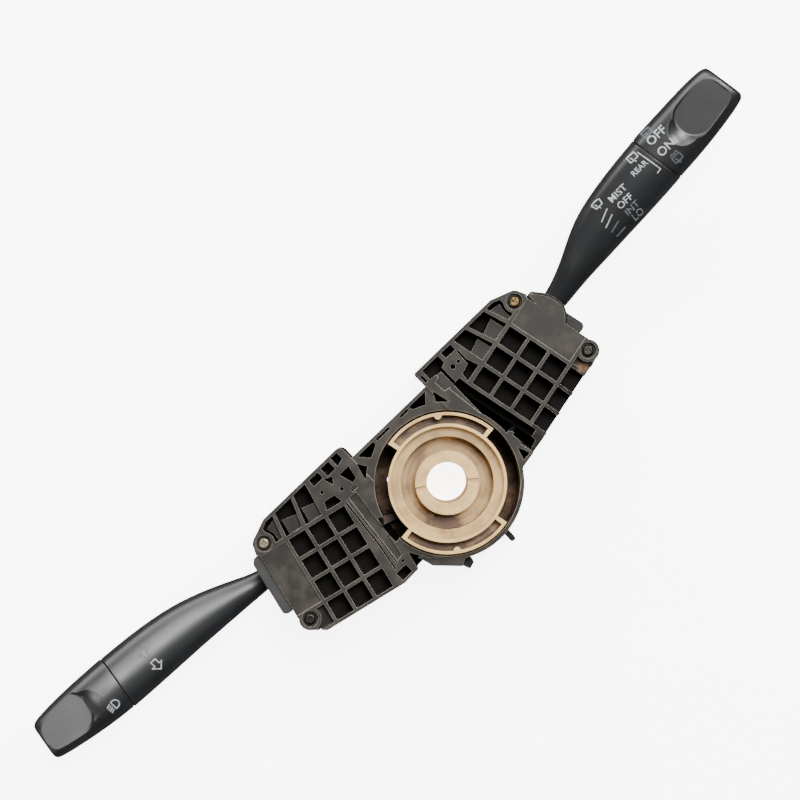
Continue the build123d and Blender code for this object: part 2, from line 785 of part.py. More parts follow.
def back_cover(side):
    """Plate that closes the case, with a raised rim inside it and a window for the connector."""
    cover = block(case_inner_u, wing_end_u, -case_half_v, case_half_v, 0, cover_wall)
    cover = cover + block(wing_end_u - 1, flange_end_u, flange_low_v, flange_high_v, 0, cover_wall)
    lip_u = case_inner_u + case_wall + seat_gap
    lip = block(lip_u, wing_end_u - case_wall - seat_gap, case_half_v - case_wall - seat_gap - 1.2,
                case_half_v - case_wall - seat_gap, cover_wall - 0.5, cover_wall + 1.4)
    cover = cover + (lip - rod(screw_post_r + 0.4, 0, 10, screw_u, screw_v))
    cover = cover - rod(holder_journal_r + running_gap, 1.2, cover_wall + 1, pivot_u, pivot_v)
    return cover - block(*connector_rect(seat_gap), -1, cover_wall + 2)


def contact_board(side):
    """Insulating board that lies on the back cover under the contact bridges."""
    u0 = case_inner_u + case_wall + 2 * seat_gap
    v0 = connector_rect(seat_gap)[3]
    v1 = case_half_v - case_wall - 3 * seat_gap - 1.2
    return block(u0, board_outer_u, v0, v1, cover_wall, cover_wall + board_wall)


def connector(side):
    """Socket shell for the loom's plug, open to the back, with holes for its terminals."""
    u0, u1, v0, v1 = connector_rect(0)
    shell = block(u0, u1, v0, v1, 0, connector_depth + socket_floor_wall)
    w = connector_wall
    shell = shell - block(u0 + w, u1 - w, v0 + w, v1 - w, -1, connector_depth)
    key_u = (u0 + u1) / 2
    shell = shell + block(key_u - 1, key_u + 1, v1 - w - socket_key, v1 - w + 0.2, 0, connector_depth)
    return shell - terminal_pins(terminal_gap)


def terminal_pins(grow):
    """Straight blades in rows, each grown by the play that its hole has."""
    u0, u1, v0, v1 = connector_rect(0)
    half = terminal_size / 2 + grow
    pins = []
    for column in range(terminal_columns):
        for row in range(terminal_rows):
            u = (u0 + u1) / 2 + (column - (terminal_columns - 1) / 2) * terminal_pitch
            v = (v0 + v1) / 2 + (row - (terminal_rows - 1) / 2) * terminal_pitch
            top = connector_depth + socket_floor_wall + terminal_tail
            pins.append(block(u - half, u + half, v - half, v + half, connector_depth - terminal_reach, top))
    return pins


def terminals(side):
    return group(terminal_pins(0))


def notch_reach():
    """Radius, from the holder's axis, at which the plunger's tip travels."""
    return -holder_back + arm_length + plunger_stand_out


def detent_plate(side):
    """Curved plate with a notch for each lever position, fixed under the roof of the case."""
    ridge = notch_reach() + detent_ridge_gap
    outer = ridge + detent_wall
    reach = [-ridge * sin(radians(angle)) for angle in side.detents]
    low, high = min(reach) - 2.8, max(reach) + 2.8
    z0, z1 = arm_low - pivot_z, case_top - case_wall - pivot_z
    plate = (rod(outer, z0, z1) - rod(ridge, z0 - 1, z1 + 1)) & block(-outer, -ridge / 2, low, high, z0, z1)
    for angle in side.detents:
        centre = ridge + detent_depth - detent_notch_r
        plate = plate - Rot(0, 0, angle) * Pos(-centre, 0, 0) * rod(detent_notch_r, z0 - 1, z1 + 1)
    return holder_frame(side) * plate


def screws(side):
    """The two screws that hold a module under its wing."""
    pair = []
    for u, v in case_posts():
        head = rod(screw_head_r, screw_seat(), screw_seat() + screw_head_height, u, v)
        head = fillet(head.edges().group_by(Axis.Z)[-1], 0.9)
        slots = [Rot(0, 0, turn) * Box(2.6, 0.7, 1.6) for turn in (20, 110)]
        for slot in slots:
            head = head - Pos(u, v, screw_seat() + screw_head_height) * slot
        pair.append(head + rod(screw_r, screw_seat() - screw_length, screw_seat() + 0.2, u, v))
    return group(pair)


# ---- switch module: moving pieces ---------------------------------------------------------------
def holder(side):
    """Turning block with a fork for the lever and an arm for the detent plunger."""
    low, high = holder_low - pivot_z, holder_high - pivot_z
    body = block(holder_back, holder_front, -holder_half_width, holder_half_width, low, high)
    body = body - block(-fork_depth, holder_front + 1, -fork_half_width, fork_half_width, fork_low - pivot_z,
                        fork_high - pivot_z)
    half = rotor_r + 0.3
    body = body - block(holder_back - 1, 0, -half, half, fork_low - pivot_z, arm_low - pivot_z - 0.6)
    arm_end = holder_back - arm_length
    arm_axis = (arm_low + arm_high) / 2 - pivot_z
    half = arm_half_width
    arm = block(arm_end, holder_back + 1, -half, half, arm_low - pivot_z, arm_high - pivot_z)
    bore_r = plunger_r + running_gap
    body = body + arm - along(bore_r, arm_end - 1, arm_end + plunger_bore_depth, 0, arm_axis)
    body = body + rod(holder_journal_r, low - cover_wall + 0.3, low + 0.5)
    body = body + rod(holder_journal_r, high - 0.5, case_top - 0.9 - pivot_z)
    body = body - across(trunnion_r + 0.02, -holder_half_width - 1, holder_half_width + 1)
    return holder_frame(side) * body


def pivot_pins(side):
    """The two trunnion pins that carry the lever in the holder's fork."""
    inner = fork_half_width - trunnion_reach
    outer = holder_half_width - 0.1
    pins = [across(trunnion_r, inner, outer), across(trunnion_r, -outer, -inner)]
    return holder_frame(side) * group(pins)


def plunger(side):
    """Detent plunger with a round nose."""
    axis = (arm_low + arm_high) / 2 - pivot_z
    nose = -notch_reach() + plunger_r
    body = along(plunger_r, nose, nose + plunger_length, 0, axis) + Pos(nose, 0, axis) * Sphere(plunger_r)
    return holder_frame(side) * body


def plunger_spring(side):
    """Coil spring behind the plunger, in the bore of the holder's arm."""
    axis = (arm_low + arm_high) / 2 - pivot_z
    bottom = holder_back - arm_length + plunger_bore_depth - seat_gap
    top = -notch_reach() + plunger_r + plunger_length + seat_gap
    length = bottom - top - spring_wire
    radius = plunger_r - spring_wire
    path = Helix(length / spring_turns, length, radius)
    wire = Plane(origin=path @ 0, z_dir=path % 0) * Rectangle(spring_wire, spring_wire)
    coil = Pos(top + spring_wire / 2, 0, axis) * Rot(0, 90, 0) * sweep(wire, path)
    return holder_frame(side) * coil


def contact_carrier(side):
    """Insulating foot under the arm that carries the contact bridges over the board."""
    end = holder_back - arm_length
    low = cover_wall + board_wall + bridge_gap + bridge_wall - pivot_z
    half = carrier_half_width
    foot = block(end - 1, end - 1 + carrier_length, -half, half, low, low + carrier_wall)
    leg = block(end + 0.5, end + 4, -arm_half_width + 0.5, arm_half_width - 0.5, low + carrier_wall - 0.5,
                arm_low - pivot_z)
    return holder_frame(side) * (foot + leg)


def contact_bridges(side):
    """Three sprung metal bridges under the carrier."""
    end = holder_back - arm_length
    low = cover_wall + board_wall + bridge_gap - pivot_z
    strips = []
    for y in (-bridge_pitch, 0, bridge_pitch):
        strips.append(block(end - 0.4, end + carrier_length - 1.6, y - 0.8, y + 0.8, low, low + bridge_wall))
    return holder_frame(side) * group(strips)


def section(station):
    """One cross-section of a stalk, a rounded rectangle square to the lever."""
    reach, width, offset, thick = station
    plane = Plane(origin=(reach, offset, 0), x_dir=(0, 1, 0), z_dir=(1, 0, 0))
    return plane * RectangleRounded(width, thick, 0.40 * thick)


def lever(side):
    """Stalk: flat grip that narrows to a block held in the holder's fork."""
    grip = loft([section(station) for station in side.stalk])
    half = fork_half_width - lever_side_gap
    flat = lever_root_half - 0.1
    root = across(lever_root_half, -half, half) + block(0, side.stalk[0][0] + 2, -half, half, -flat, flat)
    body = grip + root
    body = body - along(shaft_r + shaft_gap, -lever_root_half - 1, side.stalk[-1][0] + 1)
    hole = trunnion_r + 0.05
    inner = half - trunnion_reach
    body = body - across(hole, inner, half + 1) - across(hole, -half - 1, -inner)
    return lever_frame(side) * body


def knob_stations(side):
    """The knob's sections, from the gap beside the lever to just short of its tip."""
    first, *rest = side.knob
    last = rest[-1]
    end = side.knob_tip
    return [(first[0] + knob_gap,) + first[1:], *rest, (end, last[1] - 2.2, last[2] - 0.6, last[3] - 2.6)]


def scoop(side):
    """Thumb recess in the driver's side of the knob, with a slanted floor."""
    end = side.knob_tip - scoop_rim
    offset = -1.2
    half = scoop_width / 2
    face = rect(scoop_start + scoop_end_r, end, offset - half, offset + half)
    face = face + Pos(scoop_start + scoop_end_r, offset) * Circle(half)
    prism = slab(face, -5, 20)
    length = end - scoop_start
    thick = side.knob[1][3] / 2
    slope = Pos(scoop_start, 0, thick) * Rot(0, -degrees_of(-(scoop_depth + 1.5) / length), 0)
    return prism & (slope * block(-2, length + 10, -20, 20, 0, 20))


def degrees_of(ratio):
    return ratio * 57.2958


def knob(side):
    """Turning end of the stalk."""
    body = loft([section(station) for station in knob_stations(side)])
    tip = body.faces().sort_by(Axis.X)[-1]
    body = fillet(tip.edges(), tip_round)
    body = body - scoop(side)
    start = side.knob[0][0]
    body = body - along(shaft_r + 0.02, start - 1, start + knob_gap + knob_grip)
    return lever_frame(side) * body


def knob_shaft(side):
    """Straight shaft from the knob through the lever to the rotor behind the fork."""
    end = side.knob[0][0] + knob_gap + knob_grip - 0.2
    body = along(shaft_r, rotor_end, end) + along(rotor_r, rotor_end, rotor_end + rotor_length)
    finger = block(rotor_end, rotor_end + rotor_length, -0.6, 0.6, -rotor_r - 0.3, 0)
    return lever_frame(side) * (body + finger)


# ---- cancel pawl --------------------------------------------------------------------------------
def cancel_pawl():
    """Small pawl that slides on its pin, through the gate in the ring wall, to the cancel cams."""
    u, v = pawl_pin_u, pawl_pin_v
    top = pawl_low + pawl_height
    far = u + pawl_travel + 0.1
    body = slab(outline((far, v + pawl_boss_r), (far, v - pawl_boss_r), (u, v - pawl_boss_r),
                        (pawl_tip_u, pawl_tip_v - pawl_tip_r), (pawl_tip_u, pawl_tip_v + pawl_tip_r),
                        (u, v + pawl_boss_r)), pawl_low, top)
    body = body + rod(pawl_boss_r, pawl_low, top, far, v)
    body = body + rod(pawl_tip_r, pawl_low, top, pawl_tip_u, pawl_tip_v)
    slot_r = pawl_pin_r + 0.05
    slot = rod(slot_r, pawl_low - 1, top + 1, u, v) + rod(slot_r, pawl_low - 1, top + 1, far, v)
    slot = slot + block(u, far, v - slot_r, v + slot_r, pawl_low - 1, top + 1)
    return placed(body - slot, LIGHT)


def pawl_pin():
    floor_top = ring_floor + floor_wall
    return placed(rod(pawl_pin_r - 0.02, floor_top - 1.9, wing_floor - 0.1, pawl_pin_u, pawl_pin_v), LIGHT)


# ---- all pieces ---------------------------------------------------------------------------------
MODULE_PIECES = {
    "case": case,
    "back_cover": back_cover,
    "contact_board": contact_board,
    "connector": connector,
    "terminals": terminals,
    "detent_plate": detent_plate,
    "screws": screws,
    "holder": holder,
    "pivot_pins": pivot_pins,
    "plunger": plunger,
    "plunger_spring": plunger_spring,
    "contact_carrier": contact_carrier,
    "contact_bridges": contact_bridges,
    "lever": lever,
    "knob": knob,
    "knob_shaft": knob_shaft,
}


def all_pieces():
    pieces = {"base_body": base_body(), "cancel_sleeve": cancel_sleeve(), "cancel_pawl": cancel_pawl(),
              "pawl_pin": pawl_pin()}
    for side in (LIGHT, WIPER):
        for name, make in MODULE_PIECES.items():
            pieces[f"{side.name}_{name}"] = placed(make(side), side)
    return pieces


def main():
    os.makedirs("parts", exist_ok=True)
    for name, shape in all_pieces().items():
        export_step(shape, f"parts/{name}.step")


main()
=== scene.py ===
import json
from math import atan2, cos, hypot, pi, radians, sin

import bmesh
import bpy
from bpy.props import FloatProperty, FloatVectorProperty, IntProperty, PointerProperty
from mathutils import Matrix, Vector

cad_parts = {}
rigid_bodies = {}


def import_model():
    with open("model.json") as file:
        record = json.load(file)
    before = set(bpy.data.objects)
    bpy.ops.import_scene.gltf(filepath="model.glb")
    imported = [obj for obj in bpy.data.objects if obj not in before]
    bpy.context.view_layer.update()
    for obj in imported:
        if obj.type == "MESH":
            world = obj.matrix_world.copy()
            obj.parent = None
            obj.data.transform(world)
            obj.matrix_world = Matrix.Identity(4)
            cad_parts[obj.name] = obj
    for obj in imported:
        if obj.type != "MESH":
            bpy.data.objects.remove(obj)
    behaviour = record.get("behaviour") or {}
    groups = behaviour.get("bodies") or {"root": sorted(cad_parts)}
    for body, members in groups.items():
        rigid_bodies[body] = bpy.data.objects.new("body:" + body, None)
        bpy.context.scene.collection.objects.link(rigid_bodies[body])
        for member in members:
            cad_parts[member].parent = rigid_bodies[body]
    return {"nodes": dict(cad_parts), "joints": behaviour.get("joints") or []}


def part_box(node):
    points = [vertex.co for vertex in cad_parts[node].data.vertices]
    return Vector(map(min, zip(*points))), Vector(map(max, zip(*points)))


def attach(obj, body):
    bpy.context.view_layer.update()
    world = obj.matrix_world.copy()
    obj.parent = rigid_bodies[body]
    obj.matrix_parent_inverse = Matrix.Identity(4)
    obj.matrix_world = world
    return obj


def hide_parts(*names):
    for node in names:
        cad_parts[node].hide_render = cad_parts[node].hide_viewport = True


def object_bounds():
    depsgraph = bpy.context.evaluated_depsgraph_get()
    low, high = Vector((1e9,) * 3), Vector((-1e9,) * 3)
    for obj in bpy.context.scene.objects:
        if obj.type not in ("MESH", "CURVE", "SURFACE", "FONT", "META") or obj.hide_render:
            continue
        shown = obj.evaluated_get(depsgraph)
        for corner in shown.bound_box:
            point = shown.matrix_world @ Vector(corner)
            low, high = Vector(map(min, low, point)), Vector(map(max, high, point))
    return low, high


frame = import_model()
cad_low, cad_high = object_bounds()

bl_info = {
    "name": "Combination Stalk Switch",
    "version": (1, 0, 0),
    "blender": (4, 5, 0),
    "location": "View3D > Sidebar > Stalk Switch",
    "description": "Dresses a steering column switch: base, cancel sleeve, stalks, knobs and legends",
    "category": "Object",
}

MM = 0.001
# Points of a cage that are closer than this lie on the same line.
NEAR = 0.01 * MM
SIDES = ("light", "wiper")

# Cross-sections of the stalks and knobs in millimetres: distance from the pivot along the lever, width,
# offset towards the top of the steering wheel, and thickness.
STALK_SECTIONS = {
    "light": ((-3.6, 8.6, 0.0, 8.4), (13, 9.2, 0.0, 9.0), (18, 9.2, -0.6, 9.5), (31, 14.2, 0.9, 11.5),
              (42, 18.2, 1.8, 13.4), (52, 21.0, 2.3, 15.0), (63, 23.2, 2.2, 16.2), (78, 24.8, 1.3, 17.2),
              (92.6, 25.1, 0.0, 17.5)),
    "wiper": ((-3.6, 8.6, 0.0, 8.4), (13, 9.2, 0.0, 9.0), (18, 10.2, -1.8, 9.5), (31, 12.8, -0.6, 11.5),
              (42, 17.8, 0.7, 13.4), (52, 21.8, 1.7, 15.0), (63, 24.0, 1.7, 16.2), (78, 25.7, 1.0, 17.2),
              (92.6, 26.0, 0.0, 17.5)),
}
KNOB_SECTIONS = {
    "light": ((95.6, 25.1, 0.0, 17.5), (99, 25.0, -0.3, 17.4), (104.5, 24.7, -0.7, 17.2),
              (111, 23.9, -1.1, 16.7), (118, 22.8, -1.5, 15.8), (125, 21.2, -1.9, 14.3)),
    "wiper": ((95.6, 26.0, 0.0, 17.5), (99, 26.1, -0.3, 17.4), (104.5, 25.9, -0.8, 17.3),
              (112, 25.5, -1.4, 16.8), (120, 24.9, -1.9, 15.8), (128, 23.8, -2.4, 14.4)),
}
KNOB_TIP = {"light": 133.8, "wiper": 137.4}
PARTING = 94.0
# Thumb flats in millimetres: start from the pivot, width, offset, rim left at the tip, and the fall of
# the floor towards the tip in degrees. A ball hollows the deep end.
SCOOPS = {"light": (104.0, 19.6, 0.4, -2.0, 2.0), "wiper": (104.0, 17.6, -1.5, 1.6, 1.0)}
SCOOP_END_R, SCOOP_TIP_R, SCOOP_BALL, SCOOP_FLAT_FROM = 8.2, 2.4, 13.0, 5.2
SCOOP_FILLET = 1.2
# The floor falls from a line this far in from its deep end.
SCOOP_HINGE = 3.0
# The solid that cuts the floor is this high, and its sides lean out by this much towards the top.
FORMER_HEIGHT, FORMER_FLARE = 8.0, (1.22, 1, 1.04)
# What the floor's width becomes over its last 4 mm.
SCOOP_TAPER, TAPER_LENGTH = {"light": 0.97, "wiper": 1.04}, 4.0
# How a stalk's stub crosses the gap: the side it is measured from, distance, and what its size loses.
STUB = (("start", 0.0, 0.9), ("start", 0.1, 0.9), ("end", -0.05, 1.1), ("end", -0.05, 5.0))
# How a knob closes: distance back from its tip, and what its width, offset and thickness lose.
TIP_CLOSING = ((3.4, 1.7, 0.4, 1.7), (1.2, 3.2, 0.6, 3.4), (0.0, 6.0, 0.6, 6.0), (0.0, 12.0, 0.6, 9.5))
# Points of a cross-section. Those on its diagonals move out by this much, which squares the ellipse.
SECTION_POINTS, SQUARING = 16, 1.1
# A subdivided ring of 16 points shrinks by this much, so each ring starts that much larger.
RING_GROWTH = 1.026

# In millimetres, where a mask starts and is full: radii at the wall of the well, the sleeve's collar,
# the bowl's edge and the rim, and the height of the well's floor.
WELL_WALL, COLLAR_EDGE, BOWL_EDGE, RIM_EDGE = (31.4, 31.0), (13.6, 14.3), (24.2, 23.6), (25.2, 25.6)
WELL_FLOOR = (8.4, 9.0)
# Stains, and a darker patch under the collar, in millimetres: centre, radius, and width of the soft border.
FLUNG_GREASE = ((15.5, -26.5, 17.0), 6.0, 5.0)
UNDER_COLLAR_PATCH = ((-12.1, -12.6, 27.0), 6.5, 5.0)
BROWN_CORNER = ((76.0, -4.5, 33.0), 2.6, 1.6)
OIL_SPOT = ((72.3, 15.8, 33.0), 1.2, 0.8)
# The lower screw of each module has lost its shine.
DULL_SCREWS = {"light": ((-80.7, 1.8, 30.0), 12.0, 1.0), "wiper": ((82.2, -0.9, 30.0), 12.0, 1.0)}


# ---- small helpers ----
def linear(hex_colour):
    """Linear colour, with alpha, from an sRGB hex value."""
    parts = [int(hex_colour[k:k + 2], 16) / 255 for k in (1, 3, 5)]
    return [c / 12.92 if c <= 0.04045 else ((c + 0.055) / 1.055) ** 2.4 for c in parts] + [1.0]


def deselect():
    if bpy.context.object and bpy.context.object.mode != "OBJECT":
        bpy.ops.object.mode_set(mode="OBJECT")
    bpy.ops.object.select_all(action="DESELECT")


def activate(piece):
    deselect()
    piece.select_set(True)
    bpy.context.view_layer.objects.active = piece


def pick(piece, kind, test):
    """In edit mode, selects the vertices, edges or faces whose centre passes the test."""
    bpy.ops.mesh.select_mode(type=kind)
    mesh = bmesh.from_edit_mesh(piece.data)
    items = {"VERT": mesh.verts, "EDGE": mesh.edges, "FACE": mesh.faces}[kind]
    bpy.ops.mesh.select_all(action="DESELECT")
    for item in items:
        centre = item.co if kind == "VERT" else sum((v.co for v in item.verts), Vector()) / len(item.verts)
        item.select_set(test(centre))
    mesh.select_flush_mode()
    bmesh.update_edit_mesh(piece.data)


def add_modifier(piece, kind, name, **settings):
    modifier = piece.modifiers.new(name, kind)
    for key, value in settings.items():
        setattr(modifier, key, value)
    return modifier


def apply_modifiers(piece):
    activate(piece)
    for modifier in list(piece.modifiers):
        bpy.ops.object.modifier_apply(modifier=modifier.name)


def settle(piece, name, body, material, place=None):
    """Puts a finished piece in its place, with the place in its mesh, and lets it ride on its body."""
    if place is not None:
        piece.matrix_world = place @ piece.matrix_world
    activate(piece)
    bpy.ops.object.transform_apply(location=True, rotation=True, scale=True)
    piece.name = name
    piece.data.name = name
    piece.data.materials.clear()
    piece.data.materials.append(material)
    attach(piece, body)
    return piece


def joint(name):
    return next(j for j in frame["joints"] if j["name"] == name)


def lever_space(side):
    """Matrix from a lever's own space to the object: x across it, y to the driver, z along it."""
    along = Vector(joint(f"{side}_knob_turn")["axis"]).normalized()
    across = Vector((0, 0, 1)).cross(along).normalized()
    turn = Matrix((across, along.cross(across), along)).transposed().to_4x4()
    return Matrix.Translation(joint(f"{side}_tilt")["pos_m"]) @ turn


def across_sign(side):
    """The light lever's own x axis points down, so its offsets change sign."""
    return -1 if side == "light" else 1


# ---- materials ----
EASED = {"interpolation_type": "SMOOTHSTEP"}
COLOURS = {"data_type": "RGBA"}
TIMES = {"operation": "MULTIPLY"}
TIMES_PLUS = {"operation": "MULTIPLY_ADD"}


def add_node(tree, kind, inputs, output=0, **settings):
    """Adds a shader node with its settings, and constants or links on its sockets. Gives one output."""
    node = tree.nodes.new("ShaderNode" + kind)
    for key, value in settings.items():
        setattr(node, key, value)
    for socket, value in inputs.items():
        if isinstance(value, bpy.types.NodeSocket):
            tree.links.new(value, node.inputs[socket])
        else:
            node.inputs[socket].default_value = value
    return node.outputs[output] if node.outputs else None


def per_size(size_mm):
    """Noise scale for features of this size, because Object coordinates are in metres."""
    return 1 / (size_mm * MM)


def new_material(name):
    """An empty node material, and the Object coordinates that its patterns read."""
    material = bpy.data.materials.get(name) or bpy.data.materials.new(name)
    material.use_nodes = True
    tree = material.node_tree
    tree.nodes.clear()
    return material, tree, add_node(tree, "TexCoord", {}, "Object")


def sharp_edge_mask(tree, radius_mm):
    """Mask of the sharp edges, where rounding turns the normal away from the face's own."""
    rounded = add_node(tree, "Bevel", {"Radius": radius_mm * MM}, samples=6)
    own = add_node(tree, "NewGeometry", {}, "Normal")
    match = add_node(tree, "VectorMath", {0: rounded, 1: own}, "Value", operation="DOT_PRODUCT")
    return add_node(tree, "MapRange", {"Value": match, "From Min": 0.985, "From Max": 0.86}, **EASED)


def moulded_relief(tree, height, depth_mm, strength, edge_mm):
    """Normals of a fine relief, over edges that are rounded as a mould leaves them."""
    rounded = add_node(tree, "Bevel", {"Radius": edge_mm * MM}, samples=6)
    return add_node(tree, "Bump", {
        "Height": height, "Distance": depth_mm * MM, "Strength": strength, "Normal": rounded})


def stain(tree, coords, centre_mm, radius_mm, soft_mm):
    """Mask of a soft-edged spot round a point, with a ragged border."""
    centre = Vector(centre_mm) * MM
    offset = add_node(tree, "VectorMath", {0: coords, 1: centre}, operation="SUBTRACT")
    away = add_node(tree, "VectorMath", {0: offset}, "Value", operation="LENGTH")
    ragged = add_node(tree, "TexNoise", {"Vector": coords, "Scale": per_size(2.5), "Detail": 3.0})
    away = add_node(tree, "Math", {0: ragged, 1: 2 * soft_mm * MM, 2: away}, **TIMES_PLUS)
    return add_node(tree, "MapRange", {
        "Value": away, "From Min": (radius_mm + 2 * soft_mm) * MM, "From Max": radius_mm * MM}, **EASED)


def clouds(tree, coords, size_mm, detail, low, high, most=1.0):
    """Mask of soft patches of about this size: up to `most`, as its noise runs from low to high."""
    noise = add_node(tree, "TexNoise", {"Vector": coords, "Scale": per_size(size_mm), "Detail": detail})
    return add_node(tree, "MapRange", {
        "Value": noise, "From Min": low, "From Max": high, "To Max": most}, **EASED)


def axis_distance(tree, coords):
    """Distance from the steering axis, in metres."""
    flat = add_node(tree, "VectorMath", {0: coords, 1: (1.0, 1.0, 0.0)}, **TIMES)
    return add_node(tree, "VectorMath", {0: flat}, "Value", operation="LENGTH")


def moulded_glass_nylon(finishes):
    """Injection-moulded black glass-filled nylon. The glass gives a dry, slightly mottled satin face.
    Road dust has settled on it: grey on the rib tops, brown down in the cells and round the sleeve. The
    paler tops and edges are partly painted light, and the dark cells are painted shade."""
    material, tree, coords = new_material("moulded_glass_filled_nylon")
    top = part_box("base_body")[1].z
    height = add_node(tree, "SeparateXYZ", {"Vector": coords}, "Z")
    level = add_node(tree, "MapRange", {
        "Value": height, "From Min": top - 14 * MM, "From Max": top - 2 * MM}, **EASED)
    # Flow marks, in patches of about 8 mm.
    flow = add_node(tree, "TexNoise", {"Vector": coords, "Scale": per_size(8.0), "Detail": 4.0})
    patches = add_node(tree, "MapRange", {"Value": flow, "From Min": 0.38, "From Max": 0.70}, **EASED)
    body = add_node(tree, "Mix", {0: patches, 6: linear("#0e0d0c"), 7: linear("#161413")}, 2, **COLOURS)
    # Painted shade: the colour darkens down into the cells, towards their floors.
    body = add_node(tree, "Mix", {0: level, 6: linear("#060504"), 7: body}, 2, **COLOURS)
    # Dust lies on what faces up. The layer is also painted light and shade: heavier and paler on the faces
    # that point up and on the tops, dark brown down in the cells.
    facing = add_node(tree, "NewGeometry", {}, "Normal")
    upward = add_node(tree, "SeparateXYZ", {"Vector": facing}, "Z")
    amount = add_node(tree, "MapRange", {
        "Value": level, "To Min": 0.25 * finishes.dust_and_shade, "To Max": finishes.dust_and_shade})
    dust_and_top_light = add_node(tree, "Math", {0: upward, 1: amount}, **TIMES, use_clamp=True)
    uneven = add_node(tree, "Math", {0: patches, 1: 0.55}, operation="ADD")
    dust_and_top_light = add_node(tree, "Math", {0: dust_and_top_light, 1: uneven}, **TIMES)
    dust_and_shade = add_node(tree, "Mix", {0: level, 6: linear("#3a2a1a"), 7: linear("#6c655a")}, 2, **COLOURS)
    # Inside the round well the dust is brown, wherever grease from the sleeve has caught it.
    radius = axis_distance(tree, coords)
    within, over = (
        add_node(tree, "MapRange", {"Value": value, "From Min": start * MM, "From Max": full * MM})
        for value, (start, full) in ((radius, WELL_WALL), (height, WELL_FLOOR)))
    inside = add_node(tree, "Math", {0: within, 1: over}, **TIMES)
    caught = add_node(tree, "MapRange", {
        "Value": flow, "From Min": 0.40, "From Max": 0.60, "To Min": 0.25, "To Max": 0.75}, **EASED)
    greasy = add_node(tree, "Math", {0: inside, 1: caught}, **TIMES)
    # Grease has been flung against the wall of the well, and has dried there.
    flung = stain(tree, coords, *FLUNG_GREASE)
    flung = add_node(tree, "Math", {0: flung, 1: inside}, **TIMES)
    # Painted highlight along the upper edges, which handling has also rubbed pale.
    wear_and_painted_light = add_node(tree, "Math", {0: sharp_edge_mask(tree, 0.35), 1: level}, **TIMES)
    wear_and_painted_light = add_node(tree, "Math", {0: wear_and_painted_light, 1: 0.9}, **TIMES)
    # A pale brown corner and a dark oil spot on the right wing.
    blotches = add_node(tree, "TexNoise", {"Vector": coords, "Scale": per_size(1.6)})
    brown = add_node(tree, "Mix", {0: blotches, 6: linear("#3c2c1c"), 7: linear("#a88862")}, 2, **COLOURS)
    corner = add_node(tree, "Math", {0: stain(tree, coords, *BROWN_CORNER), 1: 0.7}, **TIMES)
    oil = stain(tree, coords, *OIL_SPOT)
    colour = body
    for mask, layer in ((dust_and_top_light, dust_and_shade), (greasy, linear("#786250")), (flung, linear("#9a7260")),
                        (wear_and_painted_light, linear("#8c867c")), (corner, brown), (oil, linear("#0a0908"))):
        colour = add_node(tree, "Mix", {0: mask, 6: colour, 7: layer}, 2, **COLOURS)
    # Glass fibres make a grain of about 0.1 mm, drawn at 0.35 mm so that it shows.
    grain = add_node(tree, "TexNoise", {"Vector": coords, "Scale": per_size(0.35)})
    mottle = add_node(tree, "Math", {0: grain, 1: patches}, operation="ADD")
    satin = add_node(tree, "MapRange", {
        "Value": mottle, "From Min": 0.4, "From Max": 1.5, "To Min": 0.48, "To Max": 0.66})
    # Dust in the cells takes their sheen away.
    rough = add_node(tree, "Mix", {0: level, 2: 0.85, 3: satin}, 0, data_type="FLOAT")
    shader = add_node(tree, "BsdfPrincipled", {
        "Base Color": colour, "Roughness": rough, "IOR": 1.53, "Specular IOR Level": 0.16,
        "Normal": moulded_relief(tree, grain, 0.03, 0.6, finishes.edge_round / MM)})
    add_node(tree, "OutputMaterial", {"Surface": shader})
    return material


def moulded_plastic(name, colour, flow_colour, roughness, grain_mm=0.3, depth_mm=0.02, ior=1.5, gloss=0.5):
    """A moulded plastic: faint flow marks of about 9 mm, and the fine grain of an eroded mould."""
    material, tree, coords = new_material(name)
    marks = clouds(tree, coords, 9.0, 3.0, 0.35, 0.7)
    body = add_node(tree, "Mix", {0: marks, 6: linear(colour), 7: linear(flow_colour)}, 2, **COLOURS)
    grain = add_node(tree, "TexNoise", {"Vector": coords, "Scale": per_size(grain_mm)})
    rough = add_node(tree, "MapRange", {
        "Value": grain, "From Min": 0.3, "From Max": 0.7,
        "To Min": roughness - 0.06, "To Max": roughness + 0.06})
    shader = add_node(tree, "BsdfPrincipled", {
        "Base Color": body, "Roughness": rough, "IOR": ior, "Specular IOR Level": gloss,
        "Normal": moulded_relief(tree, grain, depth_mm, 0.5, 0.25)})
    add_node(tree, "OutputMaterial", {"Surface": shader})
    return material


def grained_abs(finishes):
    """Textured ABS of the stalks: an etched mould leaves a leathery grain of about 0.15 mm with a soft
    sheen that hands have polished a little. The grain is drawn at 0.3 mm so that it shows."""
    material, tree, coords = new_material("grained_abs")
    polish = clouds(tree, coords, 14.0, 4.0, 0.4, 0.7)
    colour = add_node(tree, "Mix", {
        0: polish, 6: finishes.stalk[:] + (1.0,), 7: linear("#151618")}, 2, **COLOURS)
    cells = add_node(tree, "TexVoronoi", {"Vector": coords, "Scale": per_size(0.3)}, feature="SMOOTH_F1")
    pits = add_node(tree, "TexNoise", {"Vector": coords, "Scale": per_size(0.5)})
    grain = add_node(tree, "Math", {0: cells, 1: pits}, operation="ADD")
    rough = add_node(tree, "MapRange", {"Value": polish, "To Min": 0.38, "To Max": 0.33})
    shader = add_node(tree, "BsdfPrincipled", {
        "Base Color": colour, "Roughness": rough, "IOR": 1.53,
        "Normal": moulded_relief(tree, grain, 0.02, 0.5, 0.45)})
    add_node(tree, "OutputMaterial", {"Surface": shader})
    return material


